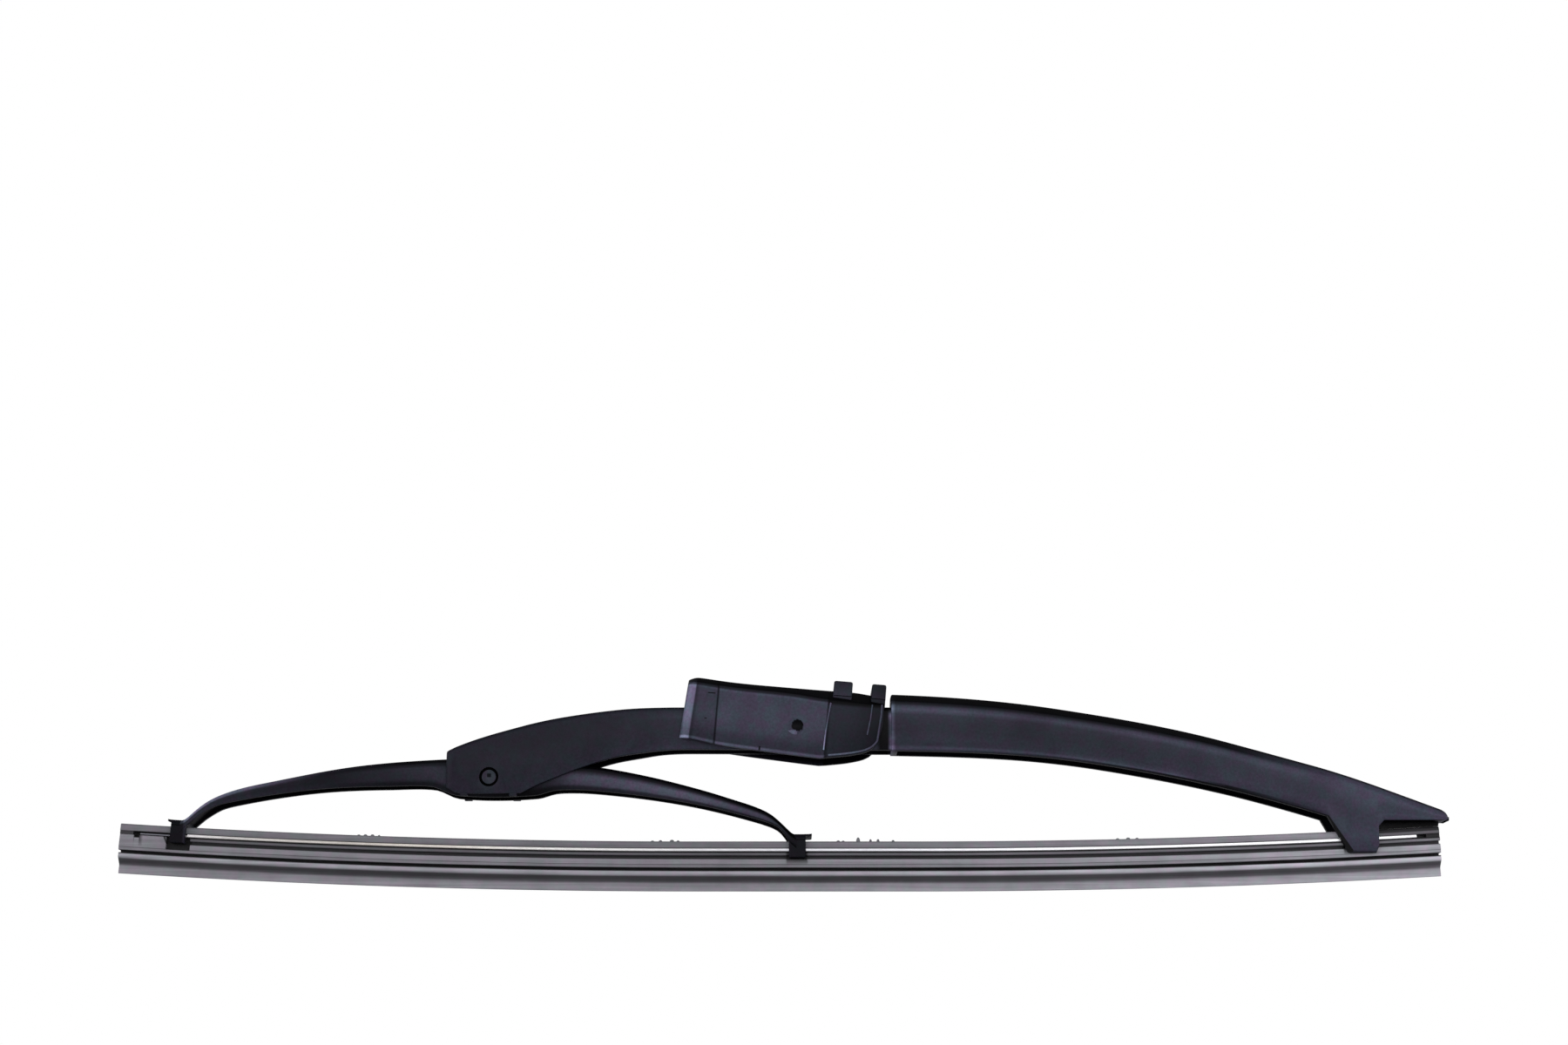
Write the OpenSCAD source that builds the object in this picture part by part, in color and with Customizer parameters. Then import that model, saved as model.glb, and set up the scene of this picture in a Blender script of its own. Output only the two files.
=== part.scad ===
// Rear wiper blade: a moulded bridge on a pivoting connector, a rocking yoke riveted in the
// bridge's fork, and a rubber element stiffened by two spring rails that three claws hold.
// The origin is on the connector's pivot axis, +X runs towards the tapered tail, +Z points
// away from the glass.

/* [Rubber element] */
// Length of the rubber element
rubber_l = 300; // [260:1:340]
// Distance from the pivot to the rubber's left end
rubber_left = 153.6; // [145:0.2:170]
// Height from the pivot down to the lowest point of the wiping lip
lip_drop = 36.7; // [33:0.1:42]
// Total height of the rubber's section
rubber_h = 11; // [10.6:0.1:13]
// Width of the head that the claws hold
head_w = 6.5; // [5.6:0.1:7]
// Thickness of the back above the rails
back_t = 1.55; // [1:0.05:1.9]
// Width of the body under the claw groove
body_w = 6.0; // [5:0.1:6.6]
// Height of the body
body_h = 2; // [1.5:0.1:2.3]
// Thickness of the thin hinge under the body
hinge_t = 1.1; // [0.7:0.1:1.6]
// Width of the lip's shoulder
shoulder_w = 5.0; // [3.8:0.1:5.8]
// Thickness of the wiping lip at its edge
lip_t = 0.9; // [0.6:0.1:1.4]
// Length of solid rubber that closes the rail slots at each end
slot_inset = 3; // [2:0.2:5]
// Length of solid rubber, without claw groove, outside the left claw
plug_l = 11.2; // [8:0.2:13]

/* [Bow] */
// Radius of the bow's two curved stretches
bow_r = 2080; // [1800:10:4000]
// Length of the straight stretch between them
bow_flat_l = 50; // [20:2:80]
// Place of the straight stretch's middle
bow_mid_x = 2; // [-20:1:20]

/* [Spring rails] */
// Thickness of a rail
rail_t = 0.66; // [0.5:0.02:0.8]
// Width of a rail
rail_w = 2.2; // [1.6:0.1:2.4]
// Gap between a rail's left end and the end of its slot
rail_end_gap = 1.7; // [0.4:0.1:2.4]
// Gap between a rail's right end and the end of its slot
rail_tail_gap = 2.3; // [0.4:0.1:6]
// How far a rail's edge stands proud of the head
rail_proud = 0.1; // [0:0.02:0.14]

/* [Claws] */
// Clearance between the head and the inside of a claw
claw_gap = 0.2; // [0.15:0.05:0.4]
// Thickness of a claw's leg
claw_leg = 1.1; // [0.8:0.05:1.4]
// Thickness of a claw's inward finger
finger_t = 0.4; // [0.3:0.05:0.5]
// Height of the groove that the fingers run in
groove_h = 0.7; // [0.6:0.05:1.1]
// Place of the yoke's left claw
left_claw_x = -140.2; // [-144:0.1:-134]
// Length of the left claw along the blade
left_claw_l = 3.4; // [2.4:0.1:5]
// Place of the yoke's middle claw
mid_claw_x = 0.4; // [-5:0.1:6]
// Length of the middle claw along the blade
mid_claw_l = 3.8; // [3:0.1:6]
// Place of the bridge's claw
tail_claw_x = 127.9; // [120:0.1:132]
// Length of the bridge's claw at its foot
tail_claw_l = 7; // [4:0.1:8]

/* [Bridge] */
// Width of the tapered arm
arm_w = 9.5; // [9.3:0.1:11.5]
// Height of the shoulder beside the connector above the pivot
arm_top = 7.95; // [7:0.05:9]
// Place of the shoulder
shoulder_x = 21.9; // [21.8:0.1:24]
// Length of the tapered arm with its tail
arm_l = 126.4; // [124:0.2:140]
// Width of the rail that runs through the connector
spine_w = 8.4; // [7.6:0.1:8.8]
// Height of the rail's top above the pivot
spine_top = 4.9; // [4.2:0.1:5.2]
// Depth of the rail's lower edge below the pivot
spine_foot = 5; // [4.4:0.1:6]
// Width of the fork that holds the yoke
fork_w = 10.4; // [10:0.1:12]
// Distance from the rivet to the fork's closed-off end
fork_l = 9.8; // [8:0.1:11]
// Wall thickness of the bridge
bridge_wall = 1.2; // [1:0.05:1.3]
// Thickness of the bridge's top
bridge_web = 1.2; // [0.9:0.05:1.5]
// Width of the bevel along the tapered arm's top edges
arm_bevel = 1.75; // [0.8:0.05:2.2]
// Width of the bevel along the fork's and the rail's top edges
fork_bevel = 0.7; // [0.3:0.05:1.2]

/* [Yoke] */
// Distance from the pivot to the rivet along the blade
rivet_x = 69.6; // [66:0.1:74]
// Depth of the rivet below the pivot
rivet_drop = 11.3; // [10.8:0.1:12]
// Clearance between the yoke's hub and the fork, each side
hub_gap = 0.2; // [0.15:0.05:0.4]
// Height of the hub's top above the rivet
hub_top = 4.5; // [3.6:0.1:4.6]
// Depth of the hub's lower edge below the rivet
hub_foot = 4.0; // [3.2:0.1:4.4]
// Wall thickness of the yoke
yoke_wall = 1.1; // [0.9:0.05:1.3]
// Width of the bevel along the yoke's top edges
yoke_bevel = 0.8; // [0.3:0.05:1.1]

/* [Rivet] */
// Diameter of the rivet's shank
rivet_d = 2.6; // [2:0.1:3]
// Diameter of the rivet's head
rivet_head_d = 3.6; // [3.3:0.1:4]
// Width of the square recess in the rivet's head
rivet_square = 1.6; // [1:0.1:1.9]

/* [Connector] */
// Overall width of the connector
shell_w = 14; // [13.6:0.1:16]
// Distance from the pivot to the connector's left end
shell_left = 26.2; // [24:0.1:29]
// Distance from the pivot to the connector's right end
shell_right = 19.8; // [19:0.1:20]
// Height of the connector's deck above the pivot
deck_top = 9; // [8.6:0.1:10]
// Thickness of the deck
deck_t = 1.4; // [1:0.1:1.6]
// Wall thickness of the cheeks
cheek_t = 1.3; // [1.1:0.05:1.4]
// Depth of the cheeks' lower edge below the pivot
cheek_drop = 6.4; // [5.6:0.1:7]
// Tilt of the connector against the blade, in degrees
tilt = 4.6; // [2:0.2:5]
// Height of the two hooks above the deck
hook_h = 2.3; // [1.4:0.1:3]
// Length of the latch window between the hooks
window_l = 4.4; // [3.4:0.1:5]
// Depth of the recessed side panels
panel_depth = 0.25; // [0.15:0.05:0.35]
// Diameter of the domes over the pin's ends
dome_d = 4.7; // [4.4:0.1:6]

/* [Pivot pin] */
// Diameter of the pin
pin_d = 3.6; // [3:0.1:4]
// Clearance of a turning fit, on the radius
turn_fit = 0.05; // [0.02:0.01:0.08]

/* [Hidden] */
$fn = 96;
slip = 0.02; // gap of a fixed shaft in its hole, on the radius
step_l = 5.5; // longest facet along a moulded arm

// Heights in the rubber's section, from the lip's edge upwards
back_z = rubber_h - back_t;
slot_h = rail_t + 0.14;
slot_z = back_z - slot_h;
flange_t = 0.85;
groove_top = slot_z - flange_t;
groove_z = groove_top - groove_h;
body_z = groove_z - body_h;
finger_z = groove_z + (groove_h - finger_t) / 2;
head_r = head_w / 2;
claw_in = head_r + max(rail_proud, 0) + claw_gap;
claw_out = claw_in + claw_leg;

rubber_x0 = -rubber_left;
rubber_x1 = rubber_x0 + rubber_l;
slot_x0 = rubber_x0 + slot_inset;
slot_x1 = rubber_x1 - slot_inset;
rail_x0 = slot_x0 + rail_end_gap;
rail_x1 = slot_x1 - rail_tail_gap;
pocket_l = left_claw_l + 2.1;
rivet_at = [-rivet_x, 0, -rivet_drop];
arm_r = max(arm_w / 2, claw_in + 0.9);
spine_r = spine_w / 2;
fork_r = fork_w / 2;
fork_x0 = -rivet_x - fork_l;
tail_x1 = shoulder_x + arm_l;
hub_r = fork_r - bridge_wall - hub_gap;
yoke_r = claw_in + yoke_wall;
shell_r = shell_w / 2;

// The bow: a straight stretch from bow_x0 to bow_x1 with a tangent arc at each end
bow_x0 = bow_mid_x - bow_flat_l / 2;
bow_x1 = bow_mid_x + bow_flat_l / 2;
function past_flat(x) = min(x - bow_x0, 0) + max(x - bow_x1, 0);
function bow_z(x) = bow_r - lip_drop - sqrt(bow_r * bow_r - past_flat(x) * past_flat(x));
function bow_slope(x) = asin(past_flat(x) / bow_r);
function seat(x) = bow_z(x) + rubber_h;

// A smooth line through [x, z, slope] points, and how high it is at x
function smooth(p, q, x) =
    let (l = q[0] - p[0], t = (x - p[0]) / l, s = 1 - t)
    p[1] * s * s * (1 + 2 * t) + q[1] * t * t * (3 - 2 * t)
    + l * t * s * (p[2] * s - q[2] * t);
function line_at(p, x, i = 0) =
    i >= len(p) - 1 ? p[len(p) - 1][1]
    : x <= p[0][0] ? p[0][1]
    : x > p[i + 1][0] ? line_at(p, x, i + 1)
    : smooth(p[i], p[i + 1], x);

// Stations from one named place to the next, no further apart than step
function stations(marks, step = step_l) = [
    marks[0],
    for (i = [1:len(marks) - 1])
        let (n = max(1, ceil((marks[i] - marks[i - 1]) / step)))
        for (k = [1:n]) marks[i - 1] + (marks[i] - marks[i - 1]) * k / n
];

// Arch-shaped section at x: r is half its width, with a bevel along each top edge
function arch(x, r, foot, top, bevel) = [
    [x, -r, foot], [x, -r, top - bevel], [x, -r + bevel, top],
    [x, r - bevel, top], [x, r, top - bevel], [x, r, foot]
];

// Lists turned round, and the side faces between m sections of n points each
function rev(v) = [for (i = [len(v) - 1:-1:0]) v[i]];
function sides(n, m) = [
    for (s = [0:m - 2]) for (i = [0:n - 1])
        [s * n + i, s * n + (i + 1) % n, (s + 1) * n + (i + 1) % n, (s + 1) * n + i]
];

// A solid bar through arch-shaped sections
module bar(sections) {
    n = 6;
    last = (len(sections) - 1) * n;
    polyhedron(
        points = [for (s = sections) each s],
        faces = concat([[5, 4, 3, 2, 1, 0]], sides(n, len(sections)),
                       [[for (i = [0:n - 1]) last + i]]));
}

// An open channel through pairs of outer and inner sections
module channel(outer, inner) {
    n = 12;
    last = (len(outer) - 1) * n;
    polyhedron(
        points = [for (i = [0:len(outer) - 1]) each concat(outer[i], rev(inner[i]))],
        faces = concat(
            [for (i = [0:4]) [n - 1 - i, n - 2 - i, i + 1, i]],
            sides(n, len(outer)),
            [for (i = [0:4]) [last + i, last + i + 1, last + n - 2 - i, last + n - 1 - i]]));
}

// Sweeps a section along the bow, from x0 to x1. The section's x is sideways and its y is
// the height above the lip's edge.
module along_bow(x0, x1) {
    from = max(x0, bow_x0);
    to = min(x1, bow_x1);
    if (to > from)
        translate([from, 0, -lip_drop])
            rotate([90, 0, 90]) linear_extrude(height = to - from) children();
    if (x0 < bow_x0) bow_arc(-1, bow_x0, bow_x0 - min(x1, bow_x0), bow_x0 - x0) children();
    if (x1 > bow_x1) bow_arc(1, bow_x1, max(x0, bow_x1) - bow_x1, x1 - bow_x1) children();
}

// One curved stretch, towards dir, between two distances from its straight neighbour
module bow_arc(dir, centre, from, to) {
    turn0 = asin(from / bow_r);
    turn1 = asin(to / bow_r);
    translate([centre, 0, bow_r - lip_drop])
        mirror([dir < 0 ? 1 : 0, 0, 0])
            rotate([90, 0, 0])
                rotate([0, 0, turn0 - 90])
                    rotate_extrude(angle = turn1 - turn0, $fn = 1440)
                        translate([bow_r, 0]) rotate(90) mirror([1, 0]) children();
}

// Places a child on the bow at x, upright on the lip's edge
module on_bow(x) {
    translate([x, 0, bow_z(x)]) rotate([0, -bow_slope(x), 0]) children();
}

module mirrored_y() {
    children();
    mirror([0, 1, 0]) children();
}

// The two fingers that reach into the groove, for a claw whose legs start at claw_in
module fingers(x, l) {
    reach = claw_in - groove_r - 0.25;
    on_bow(x)
        mirrored_y()
            translate([-l / 2, claw_in - reach, finger_z]) cube([l, reach + claw_leg / 2, finger_t]);
}

// Section of the rubber element
groove_r = head_r - 1.5;
hinge_h = 0.55;
lip_base = body_z - hinge_h;
rubber_edge = 0.2;
lip_h = 2;
rubber_side = [
    [lip_t / 2, 0], [lip_t / 2, lip_h], [shoulder_w / 2 - 0.35, lip_base - 1.3],
    [shoulder_w / 2, lip_base - 1], [shoulder_w / 2, lip_base - rubber_edge],
    [shoulder_w / 2 - rubber_edge, lip_base], [hinge_t / 2, lip_base],
    [hinge_t / 2, body_z], [body_w / 2 - 0.15, body_z],
    [body_w / 2 - 0.15, body_z + 0.6], [body_w / 2, body_z + 0.75],
    [body_w / 2, groove_z - rubber_edge], [body_w / 2 - rubber_edge, groove_z],
    [groove_r, groove_z], [groove_r, groove_top],
    [head_r - 0.15, groove_top], [head_r - 0.05, groove_top + 0.15],
    [head_r - 0.05, slot_z - 0.25], [head_r - 0.3, slot_z],
    [head_r - 0.3, back_z], [head_r, back_z],
    [head_r, rubber_h - 0.3], [head_r - 0.3, rubber_h]
];
module rubber_section() {
    polygon(concat(rubber_side, [for (p = rev(rubber_side)) [-p[0], p[1]]]));
}

module rail_slot_half(depth = rail_w - rail_proud + 0.1) {
    translate([head_r - depth, slot_z]) square([depth + 1, slot_h]);
}

module both_sides() {
    children();
    mirror([1, 0]) children();
}

module rubber() {
    color([0.43, 0.42, 0.46])
    difference() {
        union() {
            along_bow(rubber_x0, rubber_x1) rubber_section();
            // solid end without a groove, outside the left claw
            along_bow(rubber_x0, rubber_x0 + plug_l)
                translate([0.2 - body_w / 2, groove_z - 0.3]) square([body_w - 0.4, groove_h + 0.6]);
        }
        along_bow(slot_x0, slot_x1) both_sides() rail_slot_half();
        // pocket that the left claw snaps into
        along_bow(left_claw_x - pocket_l / 2, left_claw_x + pocket_l / 2)
            both_sides() translate([groove_r, groove_z - 1.3]) square([head_r, slot_z - groove_z + 1.5]);
    }
}

// A rail lies in its slot and is notched where the left claw grips
module rail(side) {
    notch_l = left_claw_l + 0.6;
    inner = head_r + rail_proud - rail_w;
    color([0.86, 0.86, 0.88])
    difference() {
        along_bow(rail_x0, rail_x1)
            translate([side > 0 ? inner : -inner - rail_w, slot_z + 0.07]) square([rail_w, rail_t]);
        along_bow(left_claw_x - notch_l / 2, left_claw_x + notch_l / 2)
            translate([side > 0 ? head_r - 0.25 : -head_r - 0.35, slot_z]) square([0.6, slot_h]);
    }
}

module rail_near() { rail(-1); }
module rail_far() { rail(1); }

// Top and lower edges of the bridge's fork and rail, as seen from the side
fork_top = [
    [fork_x0, spine_top - 10.2, 0.47], [-rivet_x + 8, spine_top - 4.3, 0.27],
    [-rivet_x + 19, spine_top - 2.05, 0.155], [-27, spine_top, 0], [shoulder_x, spine_top, 0]
];
fork_foot = -rivet_drop - hub_foot + 0.3;
fork_low = [
    [fork_x0, fork_foot + 1.4, -0.5], [fork_x0 + 3, fork_foot, -0.05],
    [-rivet_x + 7.2, fork_foot, 0], [-rivet_x + 8.6, fork_foot + 0.7, 0.55],
    [-rivet_x + 17, -rivet_drop + 0.65, 0.42], [-rivet_x + 27, -spine_foot - 2.2, 0.29],
    [-34, -spine_foot - 0.6, 0.17], [-24, -spine_foot + 0.15, 0], [shoulder_x, -spine_foot, 0]
];
fork_plan = [
    [fork_x0, fork_r - 0.85, 1.2], [fork_x0 + 0.6, fork_r - 0.35, 0.6], [fork_x0 + 2, fork_r, 0],
    [-40, fork_r, 0], [-29, spine_r, 0], [shoulder_x, spine_r, 0]
];
fork_marks = [
    fork_x0, fork_x0 + 0.6, fork_x0 + 2, fork_x0 + 3, -rivet_x, -rivet_x + 7.2, -rivet_x + 8.6,
    -rivet_x + 17, -rivet_x + 27, -40, -34, -29, -24, shoulder_x + 0.6
];

// Top and lower edges of the tapered arm
arm_top_line = [
    [shoulder_x, arm_top, -0.035], [60, arm_top - 3.35, -0.155], [98, arm_top - 10.85, -0.272],
    [118, arm_top - 16.4, -0.28], [134, arm_top - 21.7, -0.37],
    [tail_x1 - 2, arm_top - 26.3, -0.372]
];
claw_foot = bow_z(tail_claw_x) + finger_z - 1.45;
claw_x0 = tail_claw_x - tail_claw_l / 2;
claw_x1 = tail_claw_x + tail_claw_l / 2;
tail_low = seat(tail_claw_x + 12) + 1.5;
arm_low_line = [
    [shoulder_x, -spine_foot - 0.2, -0.02], [47, -spine_foot - 1, -0.06],
    [70, -spine_foot - 3.5, -0.16], [98, -spine_foot - 8.95, -0.235],
    [claw_x0 - 4, -spine_foot - 15.1, -0.3]
];
claw_low_line = [
    [claw_x0 - 4, -spine_foot - 15.1], [claw_x0 + 0.35, claw_foot + 0.3], [claw_x0 + 0.8, claw_foot],
    [claw_x1 - 0.3, claw_foot], [claw_x1 + 0.4, claw_foot + 1.6], [claw_x1 + 0.5, tail_low - 1.4],
    [claw_x1 + 1.8, tail_low], [tail_x1, tail_low + 0.1]
];
function arm_low(x) =
    x <= claw_x0 - 4 ? line_at(arm_low_line, x) : lookup(x, claw_low_line);
arm_marks = concat([shoulder_x + 1.4, 60, 98], [for (p = claw_low_line) min(p[0], tail_x1 - 3.4)]);
arm_inner_r = max(claw_in, arm_r - bridge_wall);

module arm_shell() {
    xs = stations(arm_marks);
    body = [for (x = xs) arch(x, arm_r, arm_low(x), line_at(arm_top_line, x), arm_bevel)];
    hollow = [for (x = xs)
        arch(x, arm_inner_r, arm_low(x), line_at(arm_top_line, x) - bridge_web, arm_bevel * 0.75)];
    channel(body, hollow);
    // end wall beside the connector, with a small round on its edge
    bar([
        for (e = [[0, 0.35], [0.12, 0.12], [0.4, 0], [1.4, 0]])
            let (x = shoulder_x + e[0])
            arch(x, arm_r - e[1], arm_low(x), line_at(arm_top_line, x) - e[1], arm_bevel - e[1])
    ]);
    // rounded nose that closes the tail
    nose_x = xs[len(xs) - 1];
    bar([
        for (t = [0, 0.41, 0.7, 0.86, 0.96, 1])
            let (
                x = nose_x + (tail_x1 - nose_x) * t,
                d = 2.2 * (1 - sqrt(max(0, 1 - pow(max(0, t - 0.41) / 0.59, 2)))) * 0.9,
                top = line_at(arm_top_line, min(x, tail_x1 - 2)) - 0.37 * max(0, x - tail_x1 + 2)
            )
            arch(x, arm_r - d, arm_low(x) + d * 0.35, top - d * 0.5, arm_bevel - d * 0.35)
    ]);
    // rib inside the tail that backs up the end of the rubber
    rib_x0 = claw_x1 + 1.8;
    rib_x1 = tail_x1 - 1.9;
    rotate([90, 0, 0])
        linear_extrude(height = 1.2, center = true)
            polygon([
                [rib_x0, seat(rib_x0) + 0.35], [rib_x1, seat(rib_x1) + 0.35],
                [rib_x1, arm_low(rib_x1) + 0.5],
                [nose_x + 0.5, line_at(arm_top_line, nose_x + 0.5) - bridge_web / 2],
                [rib_x0, line_at(arm_top_line, rib_x0) - bridge_web / 2]
            ]);
    // cross ribs under the top
    rib_step = (claw_x0 - shoulder_x) * 0.27;
    for (n = [1 : 3])
        let (x = shoulder_x + n * rib_step)
        translate([x, 0, line_at(arm_top_line, x) - bridge_web / 2 - 2.6])
            rotate([0, 4, 0]) cube([1, arm_inner_r * 2 + 0.4, 4.2], center = true);
}

module fork_shell() {
    xs = stations(fork_marks);
    channel(
        [for (x = xs)
            arch(x, line_at(fork_plan, x), line_at(fork_low, x), line_at(fork_top, x), fork_bevel)],
        [for (x = xs)
            arch(x, min(line_at(fork_plan, max(x, fork_x0 + 2)) - bridge_wall, fork_r - bridge_wall),
                 line_at(fork_low, x), line_at(fork_top, x) - min(bridge_web, 0.8 + (x - fork_x0) * 0.1),
                 fork_bevel * 0.6)]);
}

module bridge() {
    foot_gap = 5.55;
    boss_r = pin_d / 2 + 1.7;
    color([0.17, 0.17, 0.2])
    difference() {
        union() {
            fork_shell();
            arm_shell();
            fingers(tail_claw_x, tail_claw_l - 0.8);
            // stops under the fork, one each side of the rivet
            for (x = [-foot_gap, foot_gap])
                mirrored_y()
                    translate([-rivet_x + x - 0.8, fork_r - bridge_wall, fork_foot - 0.45])
                        cube([1.6, bridge_wall - 0.2, 1]);
            // boss that carries the pivot pin across the rail
            rotate([90, 0, 0]) cylinder(r = boss_r, h = spine_w - 1, center = true);
            translate([-0.6, 1 - spine_r, 0]) cube([1.2, spine_w - 2, spine_top - 0.5]);
        }
        rotate([90, 0, 0]) cylinder(d = pin_d + 2 * slip, h = spine_w + 4, center = true);
        translate(rivet_at) rotate([90, 0, 0]) {
            cylinder(d = rivet_d + 2 * slip, h = fork_w + 4, center = true);
            for (s = [-1, 1])
                translate([0, 0, s * fork_r])
                    cylinder(d = rivet_head_d + 0.8, h = 1.2, center = true);
        }
    }
}

// Top and lower edges of the yoke
left_web = seat(left_claw_x) + 1.3;
mid_web = seat(mid_claw_x) + 1.35;
yoke_top = [
    [left_claw_x + 1, left_web, 0.05], [left_claw_x + 2.6, left_web + 0.85, 0.95],
    [left_claw_x + 5, left_web + 3.05, 0.85], [left_claw_x + 10.8, -rivet_drop - 3.5, 0.37],
    [left_claw_x + 22.7, -rivet_drop - 0.55, 0.21], [left_claw_x + 40.5, -rivet_drop + 2.7, 0.13],
    [-rivet_x - 12, -rivet_drop + hub_top - 0.3, 0.05], [-rivet_x - 2, -rivet_drop + hub_top, 0],
    [-rivet_x + 14, -rivet_drop + hub_top - 0.85, -0.1],
    [-rivet_x + 27.5, -rivet_drop + 2.05, -0.17], [mid_claw_x - 28, -rivet_drop - 1.05, -0.26],
    [mid_claw_x - 16, -rivet_drop - 4.5, -0.33], [mid_claw_x - 7, -rivet_drop - 7.75, -0.5],
    [mid_claw_x - 1.4, mid_web + 0.55, -0.95], [mid_claw_x - 0.2, mid_web - 0.15, -0.25]
];
yoke_low = [
    [left_claw_x + 1, left_web - 2.8, 0.1], [left_claw_x + 1.9, left_web - 1.55, 1],
    [left_claw_x + 3.2, left_web - 0.35, 0.85], [left_claw_x + 5.1, left_web + 1.25, 0.65],
    [left_claw_x + 9.1, -rivet_drop - 6.3, 0.33], [left_claw_x + 13.1, -rivet_drop - 5.35, 0.2],
    [left_claw_x + 29.2, -rivet_drop - 2.85, 0.11], [left_claw_x + 47, -rivet_drop - 1.95, 0.01],
    [-rivet_x - 13, -rivet_drop - 2, -0.12], [-rivet_x - 7.5, -rivet_drop - hub_foot, -0.1],
    [-rivet_x + 10.5, -rivet_drop - hub_foot, 0.08], [-rivet_x + 14.7, -rivet_drop - 2.9, 0.15],
    [-rivet_x + 19, -rivet_drop - 2.7, 0], [-rivet_x + 27.5, -rivet_drop - 3.25, -0.1],
    [mid_claw_x - 23, -rivet_drop - 6.05, -0.2], [mid_claw_x - 11, -rivet_drop - 8.95, -0.28],
    [mid_claw_x - 7.1, -rivet_drop - 10.1, -0.36], [mid_claw_x - 3.8, -rivet_drop - 11.8, -0.95],
    [mid_claw_x - 1.4, mid_web - 2.1, -1.5], [mid_claw_x - 0.2, mid_web - 3.1, -0.3]
];
yoke_plan = [
    [left_claw_x + 1, claw_in + yoke_wall + 0.1, 0], [left_claw_x + 12, yoke_r - 0.35, -0.02],
    [-rivet_x - 14, hub_r, 0], [-rivet_x + 30, hub_r, 0], [mid_claw_x - 12, yoke_r - 0.3, 0.02],
    [mid_claw_x - 0.2, claw_in + yoke_wall + 0.1, 0]
];
yoke_marks = [
    left_claw_x + 1, left_claw_x + 1.8, left_claw_x + 2.6, left_claw_x + 3.8, left_claw_x + 5,
    left_claw_x + 7.5, left_claw_x + 10.8, -rivet_x - 14, -rivet_x - 7.5, -rivet_x, -rivet_x + 10.5,
    -rivet_x + 14.7, -rivet_x + 19, -rivet_x + 27.5, mid_claw_x - 28, mid_claw_x - 16, mid_claw_x - 10.7,
    mid_claw_x - 7, mid_claw_x - 4.5, mid_claw_x - 2.8, mid_claw_x - 1.4, mid_claw_x - 0.2
];

// A claw of the yoke: a saddle over the head, two legs, fingers, and a curved horn
module yoke_claw(x, l, web_t, dir, horn_l) {
    roof = rubber_h + 0.15;
    on_bow(x) {
        difference() {
            translate([-l / 2, -claw_out, finger_z])
                cube([l, 2 * claw_out, roof + web_t - finger_z]);
            translate([-l, -claw_in, finger_z - 1]) cube([2 * l, 2 * claw_in, roof - finger_z + 1]);
            // bevels along the saddle
            mirrored_y()
                translate([0, claw_out, roof + web_t])
                    rotate([45, 0, 0]) cube([2 * l, yoke_bevel * 1.2, yoke_bevel * 1.2], center = true);
        }
        // the horn runs on from the saddle's top and curves up a little
        translate([dir * (l / 2 - 0.3), 0, roof + web_t])
            rotate([90, 0, 0])
                linear_extrude(height = claw_in * 2, center = true)
                    polygon([
                        [0, -0.52], [dir * (0.3 + horn_l * 0.5), -0.5], [dir * (0.3 + horn_l), -0.38],
                        [dir * (0.3 + horn_l), 0.08], [dir * (0.3 + horn_l * 0.5), 0.01], [0, -0.01]
                    ]);
    }
    fingers(x, l - 0.3);
}

module yoke() {
    color([0.14, 0.14, 0.17])
    difference() {
        union() {
            xs = stations(yoke_marks);
            channel(
                [for (x = xs)
                    arch(x, line_at(yoke_plan, x), line_at(yoke_low, x), line_at(yoke_top, x), yoke_bevel)],
                [for (x = xs)
                    arch(x, line_at(yoke_plan, x) - yoke_wall, line_at(yoke_low, x),
                         line_at(yoke_top, x) - 1.05, yoke_bevel * 0.5)]);
            yoke_claw(left_claw_x, left_claw_l, 1.3, -1, 0.9);
            yoke_claw(mid_claw_x, mid_claw_l, 1.4, 1, 1.4);
            // boss that the rivet turns in
            translate(rivet_at) rotate([90, 0, 0])
                cylinder(r = rivet_d / 2 + 1.5, h = 2 * hub_r - 0.4, center = true);
        }
        translate(rivet_at) rotate([90, 0, 0])
            cylinder(d = rivet_d + 2 * turn_fit, h = fork_w + 4, center = true);
    }
}

module yoke_rivet() {
    head_t = 0.5;
    color([0.3, 0.3, 0.33])
    translate(rivet_at) rotate([90, 0, 0])
        difference() {
            union() {
                cylinder(d = rivet_d, h = fork_w - 0.4, center = true);
                for (s = [-1, 1])
                    translate([0, 0, s * (fork_r - 0.1 - head_t / 2)])
                        cylinder(d = rivet_head_d, h = head_t, center = true);
            }
            for (s = [-1, 1])
                translate([0, 0, s * fork_r])
                    cube([rivet_square, rivet_square, 0.9], center = true);
        }
}

module connector_pin() {
    color([0.6, 0.6, 0.62])
    rotate([90, 0, 0]) cylinder(d = pin_d, h = 2 * (shell_r - 1), center = true);
}

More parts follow.
